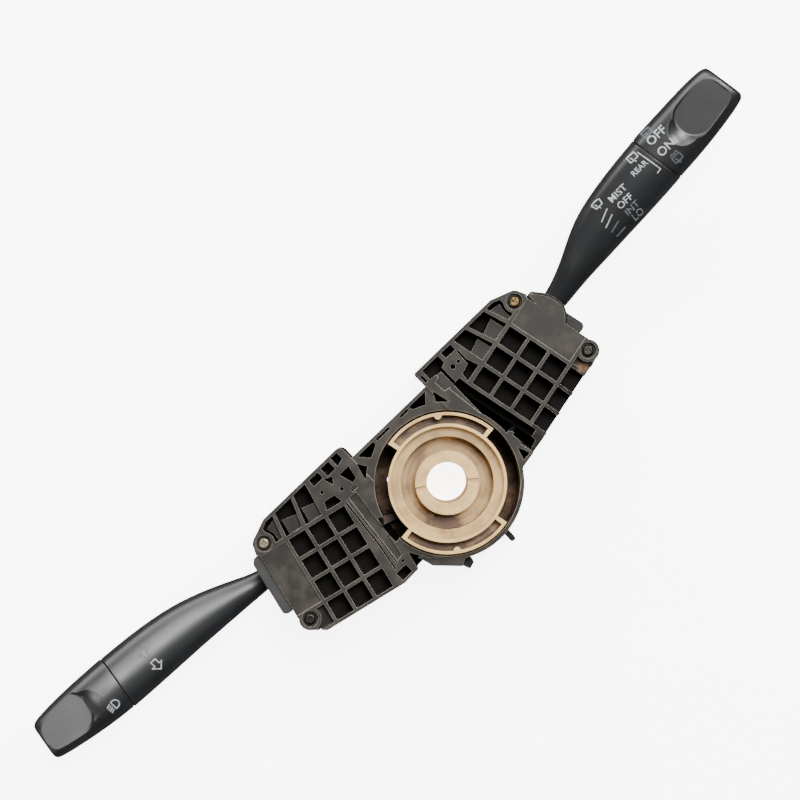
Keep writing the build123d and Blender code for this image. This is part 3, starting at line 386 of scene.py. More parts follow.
def aged_acetal(finishes):
    """Natural acetal of the cancel sleeve: smooth and waxy when moulded, yellowed by age. Grease and
    carbon dust have left arcs that follow the way it turns, and its low places are browned with painted
    shade."""
    material, tree, coords = new_material("aged_natural_acetal")
    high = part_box("cancel_sleeve")[1].z
    height = add_node(tree, "SeparateXYZ", {"Vector": coords}, "Z")
    depth = add_node(tree, "MapRange", {
        "Value": height, "From Min": high - 3 * MM, "From Max": high - 16 * MM}, **EASED)
    # Arcs about 2 mm apart round the steering axis, and clouds of about 9 mm.
    radius = axis_distance(tree, coords)
    rings = add_node(tree, "TexNoise", {"W": radius, "Scale": per_size(2.2)}, noise_dimensions="1D")
    cloud = add_node(tree, "TexNoise", {"Vector": coords, "Scale": per_size(9.0), "Detail": 3.0})
    dirt = add_node(tree, "Mix", {0: 0.75, 2: rings, 3: cloud}, 0, data_type="FLOAT")
    smear = add_node(tree, "MapRange", {
        "Value": dirt, "From Min": 0.42, "From Max": 0.66, "To Max": 0.4 * finishes.grime_and_shade}, **EASED)
    # Painted shade, patchy like grease: the bowl between collar and rim browns more the deeper it lies, and
    # the pockets of the two fingers darken.
    past_collar, short_of_edge, past_rim = (
        add_node(tree, "MapRange", {"Value": radius, "From Min": start * MM, "From Max": full * MM})
        for start, full in (COLLAR_EDGE, BOWL_EDGE, RIM_EDGE))
    bowl = add_node(tree, "Math", {0: past_collar, 1: short_of_edge}, **TIMES)
    deeper = add_node(tree, "Math", {0: depth, 1: 0.25, 2: 0.2}, **TIMES_PLUS)
    # A patch under the collar browns further.
    under_collar_patch = stain(tree, coords, *UNDER_COLLAR_PATCH)
    deeper = add_node(tree, "Math", {0: under_collar_patch, 1: 0.75, 2: deeper}, **TIMES_PLUS)
    below_top = add_node(tree, "MapRange", {
        "Value": height, "From Min": high - 1 * MM, "From Max": high - 6 * MM, "To Max": 1.2})
    pocket_shade = add_node(tree, "Math", {0: past_rim, 1: below_top}, **TIMES)
    lows = add_node(tree, "Math", {0: bowl, 1: deeper, 2: pocket_shade}, **TIMES_PLUS)
    greasy = add_node(tree, "MapRange", {
        "Value": dirt, "From Min": 0.34, "From Max": 0.62, "To Min": 0.65 * finishes.grime_and_shade,
        "To Max": 1.15 * finishes.grime_and_shade}, **EASED)
    # Over the painted shade lies the smear of real grime along the arcs.
    grime_and_shade = add_node(tree, "Math", {0: lows, 1: greasy, 2: smear}, **TIMES_PLUS, use_clamp=True)
    # Specks of carbon dust, about 1 mm apart.
    specks = clouds(tree, coords, 1.1, 2.0, 0.70, 0.76, 0.35)
    colour = finishes.sleeve[:] + (1.0,)
    for mask, layer in ((grime_and_shade, linear("#55381c")), (specks, linear("#6a4a2a"))):
        colour = add_node(tree, "Mix", {0: mask, 6: colour, 7: layer}, 2, **COLOURS)
    rough = add_node(tree, "MapRange", {
        "Value": dirt, "From Min": 0.3, "From Max": 0.8, "To Min": 0.36, "To Max": 0.54})
    waves = add_node(tree, "TexNoise", {"Vector": coords, "Scale": per_size(0.6), "Detail": 3.0})
    shader = add_node(tree, "BsdfPrincipled", {
        "Base Color": colour, "Roughness": rough, "IOR": 1.48,
        "Subsurface Weight": 0.08, "Subsurface Scale": 1.2 * MM, "Subsurface Radius": (1.0, 0.85, 0.6),
        "Normal": moulded_relief(tree, waves, 0.02, 0.4, 0.3)})
    add_node(tree, "OutputMaterial", {"Surface": shader})
    return material


def finished_metal(name, bright, dull, roughness, tarnished=None):
    """A plated, ground, drawn or rolled metal: its colour comes from the finish, and handling leaves
    dull clouds of about 1 mm. A screw may have lost its shine."""
    material, tree, coords = new_material(name)
    handled = clouds(tree, coords, 1.2, 4.0, 0.35, 0.7)
    colour = add_node(tree, "Mix", {0: handled, 6: linear(bright), 7: linear(dull)}, 2, **COLOURS)
    if tarnished:
        spot = stain(tree, coords, *tarnished)
        colour = add_node(tree, "Mix", {0: spot, 6: colour, 7: linear("#2e2b28")}, 2, **COLOURS)
    rough = add_node(tree, "MapRange", {"Value": handled, "To Min": roughness, "To Max": roughness + 0.2})
    marks = add_node(tree, "TexNoise", {"Vector": coords, "Scale": per_size(0.25)})
    shader = add_node(tree, "BsdfPrincipled", {
        "Base Color": colour, "Metallic": 1.0, "Roughness": rough,
        "Normal": moulded_relief(tree, marks, 0.012, 0.5, 0.15)})
    add_node(tree, "OutputMaterial", {"Surface": shader})
    return material


def phenolic_laminate():
    """Pressed paper and phenolic resin: brown, glossy, with the paper's fibres showing through."""
    material, tree, coords = new_material("pressed_phenolic_laminate")
    drawn_out = add_node(tree, "Mapping", {"Vector": coords, "Scale": (1.0, 6.0, 1.0)})
    fibres = add_node(tree, "TexNoise", {"Vector": drawn_out, "Scale": per_size(1.2), "Detail": 5.0})
    threads = add_node(tree, "MapRange", {"Value": fibres, "From Min": 0.3, "From Max": 0.7}, **EASED)
    colour = add_node(tree, "Mix", {0: threads, 6: linear("#5e3a1c"), 7: linear("#8a5c31")}, 2, **COLOURS)
    shader = add_node(tree, "BsdfPrincipled", {
        "Base Color": colour, "Roughness": 0.38, "IOR": 1.55,
        "Normal": moulded_relief(tree, fibres, 0.01, 0.4, 0.2)})
    add_node(tree, "OutputMaterial", {"Surface": shader})
    return material


def pad_printed_ink(name, colour, rubbed):
    """Pad-printed ink of the legends: thin and matt, rubbed in specks that show the plastic."""
    material, tree, coords = new_material(name)
    rub = clouds(tree, coords, 0.8, 4.0, 0.50, 0.72, rubbed)
    shown = add_node(tree, "Mix", {0: rub, 6: colour[:] + (1.0,), 7: linear("#232426")}, 2, **COLOURS)
    shader = add_node(tree, "BsdfPrincipled", {"Base Color": shown, "Roughness": 0.6})
    add_node(tree, "OutputMaterial", {"Surface": shader})
    return material


def light_table():
    """Matt opal acrylic of a studio light table, which glows softly from below."""
    material, tree, coords = new_material("matt_opal_acrylic")
    haze = add_node(tree, "TexNoise", {"Vector": coords, "Scale": per_size(60.0)})
    colour = add_node(tree, "Mix", {0: haze, 6: linear("#f2f2f2"), 7: linear("#fbfbfb")}, 2, **COLOURS)
    shader = add_node(tree, "BsdfPrincipled", {
        "Base Color": colour, "Roughness": 0.9, "Emission Strength": 6.0})
    add_node(tree, "OutputMaterial", {"Surface": shader})
    return material


def dress_node(name, material):
    """Gives a CAD node a finish through its object's own material slots."""
    node = frame["nodes"][name]
    for slot in node.material_slots:
        slot.link = "OBJECT"
        slot.material = material
    return node


# ---- settings ----
class StalkSwitchSizes(bpy.types.PropertyGroup):
    knob_gap: FloatProperty(
        name="Knob gap", description="Gap between a stalk and its knob", default=0.3 * MM, min=0.1 * MM,
        max=2.0 * MM, unit="LENGTH", precision=5)
    scoop_depth: FloatProperty(
        name="Scoop depth", description="Depth of the thumb scoop", default=2.8 * MM, min=0.5 * MM,
        max=5.0 * MM, unit="LENGTH", precision=5)
    letter_height: FloatProperty(
        name="Letter height", description="Height of the printed capitals", default=3.0 * MM, min=1.0 * MM,
        max=5.0 * MM, unit="LENGTH", precision=5)
    smoothness: IntProperty(
        name="Smoothness", description="Subdivision levels of stalks and knobs", default=3, min=1, max=4)


class StalkSwitchFinishes(bpy.types.PropertyGroup):
    edge_round: FloatProperty(
        name="Moulded edge", description="Radius of the base's edges", default=0.28 * MM, min=0.05 * MM,
        max=1.0 * MM, unit="LENGTH", precision=5)
    stalk: FloatVectorProperty(
        name="Stalk plastic", description="Plastic of stalks and knobs", subtype="COLOR", size=3,
        default=linear("#0f1011")[:3], min=0, max=1)
    sleeve: FloatVectorProperty(
        name="Sleeve", description="Clean acetal of the cancel sleeve", subtype="COLOR", size=3,
        default=linear("#cba66a")[:3], min=0, max=1)
    ink: FloatVectorProperty(
        name="Legend ink", description="Fresh ink of the legends", subtype="COLOR", size=3,
        default=linear("#96999b")[:3], min=0, max=1)
    # Painted shade: the legends that lie in shade are printed in this darker ink, which also stands for
    # rubbed ink.
    shaded_worn_ink: FloatVectorProperty(
        name="Worn ink", description="Ink of the legends that fingers have rubbed", subtype="COLOR", size=3,
        default=linear("#484b4d")[:3], min=0, max=1)
    # Amount of the dust layer on the base, which is partly painted light on the tops and painted shade in
    # the cells.
    dust_and_shade: FloatProperty(
        name="Dust", description="Dust on the base", default=0.13, min=0, max=1, subtype="FACTOR")
    # Grime on the sleeve, together with the painted shade in its low places and pockets.
    grime_and_shade: FloatProperty(
        name="Grime", description="Grime on the sleeve", default=0.85, min=0, max=1, subtype="FACTOR")


class StalkSwitchStage(bpy.types.PropertyGroup):
    camera_height: FloatProperty(
        name="Camera height", description="Height over the rib tops", default=1.0, unit="LENGTH")
    view_width: FloatProperty(
        name="View width", description="Width framed at the rib tops", default=0.340, unit="LENGTH")
    view_turn: FloatProperty(
        name="View turn", description="Turn about the camera's axis", default=radians(-44), unit="ROTATION")
    top_power: FloatProperty(
        name="Top light", description="Far and high on the right", default=125.0, min=0, unit="POWER")
    back_power: FloatProperty(
        name="Back light", description="Far and low behind the switch", default=150.0, min=0, unit="POWER")
    side_power: FloatProperty(
        name="Side light", description="Near, behind the right stalk", default=8.0, min=0, unit="POWER")
    end_power: FloatProperty(
        name="End light", description="Small, beyond the right stalk", default=14.0, min=0, unit="POWER")
    tip_power: FloatProperty(
        name="Tip light", description="Small, beyond the left stalk", default=7.0, min=0, unit="POWER")
    sky: FloatProperty(
        name="Room light", description="Strength of the pale room around", default=0.09, min=0)


# ---- stage ----
VIEW_CENTRE = (0.0100, 0.0394)
SENSOR_WIDTH = 36
# Softboxes: where each one stands, and its size, in metres. Their powers are settings.
SOFTBOXES = {
    "top": ((0.90, 0.40, 2.85), 1.2),
    "back": ((0.50, 3.20, 1.15), 3.0),
    "side": ((0.62, 0.80, 0.75), 0.6),
    "end": ((1.0, 0.12, 0.75), 0.35),
    "tip": ((-1.0, 0.12, 0.75), 0.35),
}


class STALKSWITCH_OT_stage(bpy.types.Operator):
    """Camera, light table and softboxes"""

    bl_idname = "stalk_switch.stage"
    bl_label = "Stage"

    def execute(self, context):
        stage = context.scene.stalk_switch_stage
        self.add_camera(context, stage)
        self.add_floor(context)
        self.add_lights(context, stage)
        return {"FINISHED"}

    def add_camera(self, context, stage):
        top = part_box("base_body")[1].z
        deselect()
        bpy.ops.object.camera_add(
            location=(*VIEW_CENTRE, top + stage.camera_height), rotation=(0, 0, stage.view_turn))
        camera = context.object
        camera.name = "camera"
        camera.data.sensor_width = SENSOR_WIDTH
        camera.data.lens = SENSOR_WIDTH * stage.camera_height / stage.view_width
        context.scene.camera = camera

    def add_floor(self, context):
        deselect()
        bpy.ops.mesh.primitive_plane_add(size=6, location=(0, 0, cad_low.z - 0.2 * MM))
        floor = context.object
        floor.name = "floor"
        floor.data.materials.append(light_table())
        # Its glow isn't mirrored in the stalks, so their lower flanks stay black.
        floor.visible_glossy = False

    def add_lights(self, context, stage):
        for name, (location, size) in SOFTBOXES.items():
            self.add_softbox(f"{name}_light", location, size, getattr(stage, f"{name}_power"))
        world = context.scene.world or bpy.data.worlds.new("room")
        context.scene.world = world
        world.use_nodes = True
        background = world.node_tree.nodes["Background"]
        background.inputs["Color"].default_value = (1.0, 1.0, 1.0, 1.0)
        background.inputs["Strength"].default_value = stage.sky

    def add_softbox(self, name, location, size, power):
        deselect()
        bpy.ops.object.light_add(type="AREA", location=location)
        light = bpy.context.object
        light.name = name
        light.data.shape = "DISK"
        light.data.size = size
        light.data.energy = power
        light.rotation_euler = (Vector((0, 0.01, 0)) - Vector(location)).to_track_quat("-Z", "Y").to_euler()


# ---- base and cases ----
class STALKSWITCH_OT_base(bpy.types.Operator):
    """Finish of the ribbed base and of the cases under it"""

    bl_idname = "stalk_switch.base"
    bl_label = "Base and cases"

    def execute(self, context):
        dress_node("base_body", moulded_glass_nylon(context.scene.stalk_switch_finishes))
        grey = moulded_plastic("moulded_grey_nylon", "#262625", "#2f2e2c", 0.5, gloss=0.25)
        black = moulded_plastic("moulded_black_nylon", "#131312", "#1b1a18", 0.5, gloss=0.2)
        dress_node("light_case", grey)
        for name in ("wiper_case", "light_back_cover", "wiper_back_cover"):
            dress_node(name, black)
        return {"FINISHED"}


class STALKSWITCH_OT_sleeve(bpy.types.Operator):
    """Finish of the cancel sleeve and of its pawl"""

    bl_idname = "stalk_switch.sleeve"
    bl_label = "Cancel sleeve"

    def execute(self, context):
        dress_node("cancel_sleeve", aged_acetal(context.scene.stalk_switch_finishes))
        dress_node("cancel_pawl", moulded_plastic(
            "moulded_brown_acetal", "#4a3f34", "#5e5142", 0.42, depth_mm=0.01, ior=1.48, gloss=0.3))
        dress_node("pawl_pin", finished_metal("ground_steel", "#b9bbbd", "#8f9194", 0.25))
        return {"FINISHED"}


# ---- stalks and knobs ----
def start_section(section, side):
    """Starts a piece as one cross-section, a squared ellipse, and stays in edit mode."""
    reach, width, offset, thick = section
    centre = (across_sign(side) * offset * MM, 0, reach * MM)
    deselect()
    bpy.ops.mesh.primitive_circle_add(
        vertices=SECTION_POINTS, radius=0.5 * MM, fill_type="NGON", location=centre)
    piece = bpy.context.object
    bpy.ops.object.transform_apply(location=True, rotation=False, scale=False)
    bpy.ops.object.mode_set(mode="EDIT")
    diagonal = 0.5 * MM * cos(pi / 4)
    pick(piece, "VERT", lambda c: abs(abs(c.x - centre[0]) - diagonal) < NEAR)
    bpy.ops.transform.resize(value=(SQUARING, SQUARING, 1), center_override=centre)
    bpy.ops.mesh.select_mode(type="FACE")
    bpy.ops.mesh.select_all(action="SELECT")
    bpy.ops.transform.resize(value=(width * RING_GROWTH, thick * RING_GROWTH, 1), center_override=centre)
    return piece


def extend(before, after, side):
    """Extrudes the selected end on to the next cross-section."""
    (reach0, width0, offset0, thick0), (reach, width, offset, thick) = before, after
    sign = across_sign(side)
    bpy.ops.mesh.extrude_region_move(
        TRANSFORM_OT_translate={"value": (sign * (offset - offset0) * MM, 0, (reach - reach0) * MM)})
    bpy.ops.transform.resize(value=(width / width0, thick / thick0, 1),
                             center_override=(sign * offset * MM, 0, reach * MM))


def run_sections(sections, side):
    """A closed body through all its cross-sections, with the last end face selected."""
    piece = start_section(sections[0], side)
    for before, after in zip(sections, sections[1:]):
        extend(before, after, side)
    return piece


def rounded_end(section, reach, edge=0.25):
    """Sections that close a body with a small rounded edge and a flat face, seen along the lever."""
    _, width, offset, thick = section
    step = edge if reach > section[0] else -edge
    return tuple((reach - back * step, width - loss * edge, offset, thick - loss * edge)
                 for back, loss in ((1, 0), (0.15, 0.4), (0, 2), (0, 6)))


def smooth_body(piece, levels):
    """Subdivides a cage, and turns its faces outwards."""
    bpy.ops.mesh.select_all(action="SELECT")
    bpy.ops.mesh.normals_make_consistent(inside=False)
    bpy.ops.object.mode_set(mode="OBJECT")
    add_modifier(piece, "SUBSURF", "smooth", levels=levels, render_levels=levels)
    apply_modifiers(piece)
    bpy.ops.object.shade_smooth()


def make_stalk(side, levels, gap):
    """The flat grip that narrows to the block between the holder's cheeks. Its stub fills the gap."""
    sections = STALK_SECTIONS[side]
    _, width, offset, thick = sections[-1]
    ends = {"start": PARTING, "end": PARTING + gap}
    stub = tuple((ends[end] + run, width - shy, offset, thick - shy) for end, run, shy in STUB)
    piece = run_sections(sections + rounded_end(sections[-1], PARTING)[:3] + stub, side)
    smooth_body(piece, levels)
    return piece


def scoop_floor(side, depth):
    return (KNOB_SECTIONS[side][2][3] / 2 - depth) * MM


def make_floor_former(side, depth):
    """The solid that cuts a scoop's flat floor: round at its deep end, filleted all round the floor."""
    start, width, offset, rim, fall = SCOOPS[side]
    x, floor = across_sign(side) * offset * MM, scoop_floor(side, depth)
    near, far = (start + SCOOP_FLAT_FROM) * MM, (KNOB_TIP[side] - rim) * MM
    top = floor + FORMER_HEIGHT * MM
    deselect()
    bpy.ops.mesh.primitive_cube_add(size=1, location=(x, (floor + top) / 2, (near + far) / 2))
    former = bpy.context.object
    former.scale = (width * MM, top - floor, far - near)
    bpy.ops.object.transform_apply(location=True, rotation=False, scale=True)
    bpy.ops.object.mode_set(mode="EDIT")
    for reach, radius, segments in ((near, SCOOP_END_R, 12), (far, SCOOP_TIP_R, 6)):
        pick(former, "EDGE", lambda c: (abs(c.z - reach) < NEAR
                                        and abs(abs(c.x - x) - width / 2 * MM) < NEAR))
        bpy.ops.mesh.bevel(offset=radius * MM, offset_type="OFFSET", segments=segments, affect="EDGES")
    pick(former, "EDGE", lambda c: abs(c.y - floor) < NEAR)
    bpy.ops.mesh.bevel(offset=SCOOP_FILLET * MM, offset_type="OFFSET", segments=4, affect="EDGES")
    pick(former, "VERT", lambda c: abs(c.y - top) < NEAR)
    bpy.ops.transform.resize(value=FORMER_FLARE, center_override=(x, top, (near + far) / 2))
    pick(former, "VERT", lambda c: c.z > far - TAPER_LENGTH * MM)
    bpy.ops.transform.resize(value=(SCOOP_TAPER[side], 1, 1), center_override=(x, top, far))
    bpy.ops.object.mode_set(mode="OBJECT")
    hinge = Matrix.Translation((x, floor, near + SCOOP_HINGE * MM))
    former.matrix_world = hinge @ Matrix.Rotation(radians(fall), 4, "X") @ hinge.inverted()
    bpy.ops.object.transform_apply(location=True, rotation=True, scale=True)
    return former


def make_ball_former(side, depth):
    """The flattened ball that cuts a scoop's deep end, tangent to the floor."""
    start, width, offset, _, _ = SCOOPS[side]
    half = (SCOOP_BALL ** 2 - (SCOOP_BALL - depth) ** 2) ** 0.5
    x, y = across_sign(side) * offset * MM, scoop_floor(side, depth) + SCOOP_BALL * MM
    deselect()
    bpy.ops.mesh.primitive_uv_sphere_add(
        segments=64, ring_count=40, radius=SCOOP_BALL * MM, location=(x, y, (start + half) * MM))
    former = bpy.context.object
    former.scale = (width / 2 / half, 1, 1)
    bpy.ops.object.transform_apply(location=True, rotation=False, scale=True)
    return former


def make_knob(side, levels, gap, depth):
    """The turning end of a stalk, with its thumb scoop."""
    sections = KNOB_SECTIONS[side]
    first, last, tip = sections[0], sections[-1], KNOB_TIP[side]
    start = tuple(reversed(rounded_end(first, PARTING + gap)))
    _, width, offset, thick = last
    closing = tuple((tip - back, width - slimmer, offset - shift, thick - thinner)
                    for back, slimmer, shift, thinner in TIP_CLOSING)
    piece = run_sections(start + sections + closing, side)
    smooth_body(piece, levels)
    for make_former in (make_floor_former, make_ball_former):
        former = make_former(side, depth)
        add_modifier(piece, "BOOLEAN", "scoop", object=former, operation="DIFFERENCE", solver="EXACT")
        apply_modifiers(piece)
        activate(former)
        bpy.ops.object.delete()
    activate(piece)
    bpy.ops.object.shade_smooth_by_angle(angle=radians(30))
    add_modifier(piece, "WEIGHTED_NORMAL", "flat_floor", keep_sharp=True, weight=60)
    apply_modifiers(piece)
    return piece


class STALKSWITCH_OT_stalks(bpy.types.Operator):
    """The two stalks"""

    bl_idname = "stalk_switch.stalks"
    bl_label = "Stalks"

    def execute(self, context):
        sizes = context.scene.stalk_switch_sizes
        finish = grained_abs(context.scene.stalk_switch_finishes)
        for side in SIDES:
            piece = make_stalk(side, sizes.smoothness, sizes.knob_gap / MM)
            settle(piece, f"{side}_stalk_grip", f"{side}_lever", finish, lever_space(side))
            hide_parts(f"{side}_lever")
        return {"FINISHED"}


class STALKSWITCH_OT_knobs(bpy.types.Operator):
    """The two turning knobs at the stalks' ends"""

    bl_idname = "stalk_switch.knobs"
    bl_label = "Knobs"

    def execute(self, context):
        sizes = context.scene.stalk_switch_sizes
        finish = bpy.data.materials["grained_abs"]
        for side in SIDES:
            piece = make_knob(side, sizes.smoothness, sizes.knob_gap / MM, sizes.scoop_depth / MM)
            settle(piece, f"{side}_turning_knob", f"{side}_knob", finish, lever_space(side))
            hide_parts(f"{side}_knob")
            dress_node(f"{side}_knob_shaft", bpy.data.materials["moulded_black_nylon"])
        return {"FINISHED"}


# ---- legends ----
# Width of a sign's lines in millimetres, and a capital's share of its font's size.
STROKE, CAPITAL_SHARE = 0.5, 0.7
# Flat legends start this high over the switch, in millimetres, and are projected down on it.
PRINT_FROM = 80
# Ink lies this far over the plastic, and is this thick, in millimetres.
INK_LIFT, INK_THICKNESS = 0.02, 0.04


def bars(*points):
    """Bars along a line of points, each as its start and end."""
    return list(zip(points, points[1:]))


def arc(x, y, radius, start, end, steps=6):
    """Bars along an arc, from start to end in degrees."""
    angles = [radians(start + (end - start) * k / steps) for k in range(steps + 1)]
    return bars(*[(x + radius * cos(a), y + radius * sin(a)) for a in angles])


def arrow_sign():
    """Hollow arrow that points up."""
    return bars((-1.2, -2.2), (-1.2, 0.2), (-2.6, 0.2), (0.0, 2.7), (2.6, 0.2), (1.2, 0.2), (1.2, -2.2),
                (-1.2, -2.2))


def lamp_sign():
    """Headlamp: a bowl with its beams."""
    bowl = arc(0.3, 0, 1.8, -90, 90, 8) + bars((0.3, 1.8), (-0.6, 1.8), (-0.6, -1.8), (0.3, -1.8))
    return bowl + [((-1.6, y), (-3.2, y - 0.5)) for y in (1.5, 0.55, -0.4, -1.35)]


def side_lamps_sign():
    """Two small lamps back to back."""
    lamps = arc(1.0, 0, 0.8, 0, 360, 8) + arc(-1.0, 0, 0.8, 0, 360, 8)
    rays = [((side * x0, y0), (side * x1, y1))
            for x0, y0, x1, y1 in ((2.2, 0, 3.0, 0), (1.8, 1.0, 2.4, 1.5)) for side in (1, -1)]
    return lamps + rays


def screen_sign():
    """Windscreen outline with a wiper arm."""
    top = arc(0, -3.4, 5.0, 116, 64)
    return top + bars((-2.2, 1.1), (-1.7, -1.2), (1.7, -1.2), (2.2, 1.1)) + bars((0.0, -2.2), (-0.9, 0.4))


def rear_screen_sign():
    """Square rear window with a wiper arm."""
    window = bars((-2.0, -1.2), (-2.0, 1.5), (2.0, 1.5), (2.0, -1.2), (-2.0, -1.2))
    return window + bars((0.0, -2.2), (-0.8, 0.4))


def washer_sign():
    """Rear window with spray over it."""
    return rear_screen_sign() + arc(-1.0, 1.9, 0.9, 30, 150, 3) + arc(1.0, 1.9, 0.9, 30, 150, 3)


def index_sign():
    """Line beside the knob's gap, with a hook at its foot."""
    return bars((0.0, 8.4), (0.0, -3.6), (-2.0, -3.6))


def upper_sweeps_sign():
    """The upper lines that fan out to the words of the wiper speeds."""
    return [((-2.8, 3.3), (2.6, 5.7)), ((-3.2, 0.2), (2.4, 2.4))]


def lower_sweeps_sign():
    """The lower lines of the same fan."""
    return [((-2.6, -2.9), (2.7, -1.4)), ((-2.2, -5.8), (2.9, -5.3))]


# Legends: name, word or sign, size against the others, side, part that it is on, centre seen from the
# driver in millimetres, turn in degrees, and whether it is dimmed: printed in the darker ink, which is
# painted shade as well as rubbed ink.
LEGENDS = (
    ("mist", "MIST", 1.0, "wiper", "lever", 138.0, 38.2, 0, False),
    ("wiper_off", "OFF", 1.0, "wiper", "lever", 137.9, 33.6, 0, False),
    ("int", "INT", 1.0, "wiper", "lever", 138.2, 29.4, 0, True),
    ("lo", "LO", 1.0, "wiper", "lever", 138.4, 25.8, 0, True),
    ("rear", "REAR", 0.8, "wiper", "lever", 151.7, 39.5, 0, False),
    ("rear_off", "OFF", 1.25, "wiper", "knob", 166.2, 44.4, 0, False),
    ("rear_on", "ON", 1.25, "wiper", "knob", 165.6, 37.9, 0, False),
    ("turn_down", arrow_sign, 1.0, "light", "lever", -143.0, 30.4, 180, False),
    ("turn_up", arrow_sign, 1.0, "light", "lever", -143.4, 37.6, 0, True),
    ("headlamp", lamp_sign, 1.0, "light", "knob", -167.0, 30.6, 0, False),
    ("side_lamps", side_lamps_sign, 1.0, "light", "knob", -166.4, 37.4, 0, True),
    ("screen", screen_sign, 1.0, "wiper", "lever", 128.9, 41.0, 0, False),
    ("upper_sweeps", upper_sweeps_sign, 1.0, "wiper", "lever", 127.8, 31.0, 0, False),
    ("lower_sweeps", lower_sweeps_sign, 1.0, "wiper", "lever", 127.8, 31.0, 0, True),
    ("rear_screen", rear_screen_sign, 1.0, "wiper", "lever", 152.9, 44.9, 0, False),
    ("index", index_sign, 1.0, "wiper", "lever", 157.3, 36.7, 9.4, False),
    ("rear_washer", washer_sign, 1.0, "wiper", "knob", 166.2, 31.4, 0, True),
    ("knob_screen", rear_screen_sign, 1.0, "wiper", "knob", 164.6, 48.2, 0, True),
)


def add_bar(start, end, width):
    """In edit mode, adds one bar of a sign as a flat strip."""
    (x0, y0), (x1, y1) = start, end
    middle = ((x0 + x1) / 2 * MM, (y0 + y1) / 2 * MM, 0)
    bpy.ops.mesh.select_all(action="DESELECT")
    bpy.ops.mesh.primitive_plane_add(size=MM, location=middle)
    length = hypot(x1 - x0, y1 - y0) + 0.7 * width
    bpy.ops.transform.resize(value=(length, width, 1), center_override=middle)
    bpy.ops.transform.rotate(value=-atan2(y1 - y0, x1 - x0), orient_axis="Z", center_override=middle)


def refine(piece, longest_mm):
    """In edit mode, divides long edges until the sheet can follow a curved surface."""
    bpy.ops.mesh.select_mode(type="EDGE")
    for _ in range(6):
        bpy.ops.mesh.select_all(action="DESELECT")
        mesh = bmesh.from_edit_mesh(piece.data)
        long_edges = [edge for edge in mesh.edges if edge.calc_length() > longest_mm * MM]
        if not long_edges:
            return
        for edge in long_edges:
            edge.select_set(True)
        bmesh.update_edit_mesh(piece.data)
        bpy.ops.mesh.subdivide(number_cuts=1)


def make_word(text, height):
    """A word as a flat mesh, centred on the origin."""
    deselect()
    bpy.ops.object.text_add()
    piece = bpy.context.object
    piece.data.body = text
    piece.data.size = height / CAPITAL_SHARE * MM
    piece.data.align_x = "CENTER"
    piece.data.align_y = "CENTER"
    piece.data.offset = 0.02 * height * MM
    piece.data.space_character = 1.02
    piece.data.resolution_u = 3
    bpy.ops.object.convert(target="MESH")
    bpy.ops.object.mode_set(mode="EDIT")
    bpy.ops.mesh.select_all(action="SELECT")
    bpy.ops.mesh.remove_doubles(threshold=0.001 * MM)
    refine(piece, 0.8)
    bpy.ops.object.mode_set(mode="OBJECT")
    return piece


def make_sign(strokes, width):
    """A sign drawn with flat strips."""
    deselect()
    bpy.ops.mesh.primitive_plane_add(size=MM)
    piece = bpy.context.object
    bpy.ops.object.mode_set(mode="EDIT")
    bpy.ops.mesh.delete(type="VERT")
    for start, end in strokes:
        add_bar(start, end, width)
    refine(piece, 0.7)
    bpy.ops.object.mode_set(mode="OBJECT")
    return piece


class STALKSWITCH_OT_legends(bpy.types.Operator):
    """Printed words and signs on the stalks and knobs"""

    bl_idname = "stalk_switch.legends"
    bl_label = "Legends"

    def execute(self, context):
        height = context.scene.stalk_switch_sizes.letter_height / MM
        finishes = context.scene.stalk_switch_finishes
        fresh = pad_printed_ink("pad_printed_ink", finishes.ink, 0.7)
        # The darker ink is painted shade on the legends that lie in shade, and stands for rubbed ink too.
        wear_and_painted_light = pad_printed_ink("rubbed_pad_printed_ink", finishes.shaded_worn_ink, 1.0)
        flats = {}
        for name, shape, size, side, part, x, y, turn, rubbed in LEGENDS:
            if shape not in flats:
                is_word = isinstance(shape, str)
                flats[shape] = make_word(shape, height) if is_word else make_sign(shape(), STROKE)
            activate(flats[shape])
            bpy.ops.object.duplicate()
            copy = context.object
            copy.matrix_world = (Matrix.Translation((x * MM, y * MM, PRINT_FROM * MM))
                                 @ Matrix.Rotation(radians(turn), 4, "Z") @ Matrix.Scale(size, 4))
            bpy.ops.object.transform_apply(location=False, rotation=False, scale=True)
            self.print_on(copy, f"{side}_legend_{name}", side, part, wear_and_painted_light if rubbed else fresh)
        for flat in flats.values():
            activate(flat)
            bpy.ops.object.delete()
        return {"FINISHED"}

    def print_on(self, piece, name, side, part, ink):
        """Lays a flat legend on the stalk or knob below it and gives it the thickness of ink."""
        target = bpy.data.objects[f"{side}_stalk_grip" if part == "lever" else f"{side}_turning_knob"]
        activate(piece)
        add_modifier(piece, "SHRINKWRAP", "lay", target=target, wrap_method="PROJECT", use_project_z=True,
                     use_negative_direction=True, use_positive_direction=False, offset=INK_LIFT * MM)
        apply_modifiers(piece)
        if any(abs(vertex.co.z) < 1 * MM for vertex in piece.data.vertices):
            raise RuntimeError(f"{name} reaches past the edge of what it is printed on")
        add_modifier(piece, "SOLIDIFY", "ink", thickness=INK_THICKNESS * MM, offset=1.0)
        apply_modifiers(piece)
        settle(piece, name, f"{side}_{part}", ink)


# ---- screws and the working parts ----
class STALKSWITCH_OT_screws(bpy.types.Operator):
    """Finish of the module screws: bright zinc on the left, yellow passivated on the right"""

    bl_idname = "stalk_switch.screws"
    bl_label = "Screws"

    def execute(self, context):
        for side, name, bright, dull in (("light", "bright_zinc_plated_steel", "#877c6b", "#645b4f"),
                                         ("wiper", "yellow_passivated_steel", "#604f35", "#42351f")):
            dress_node(f"{side}_screws", finished_metal(name, bright, dull, 0.34, DULL_SCREWS[side]))
        return {"FINISHED"}


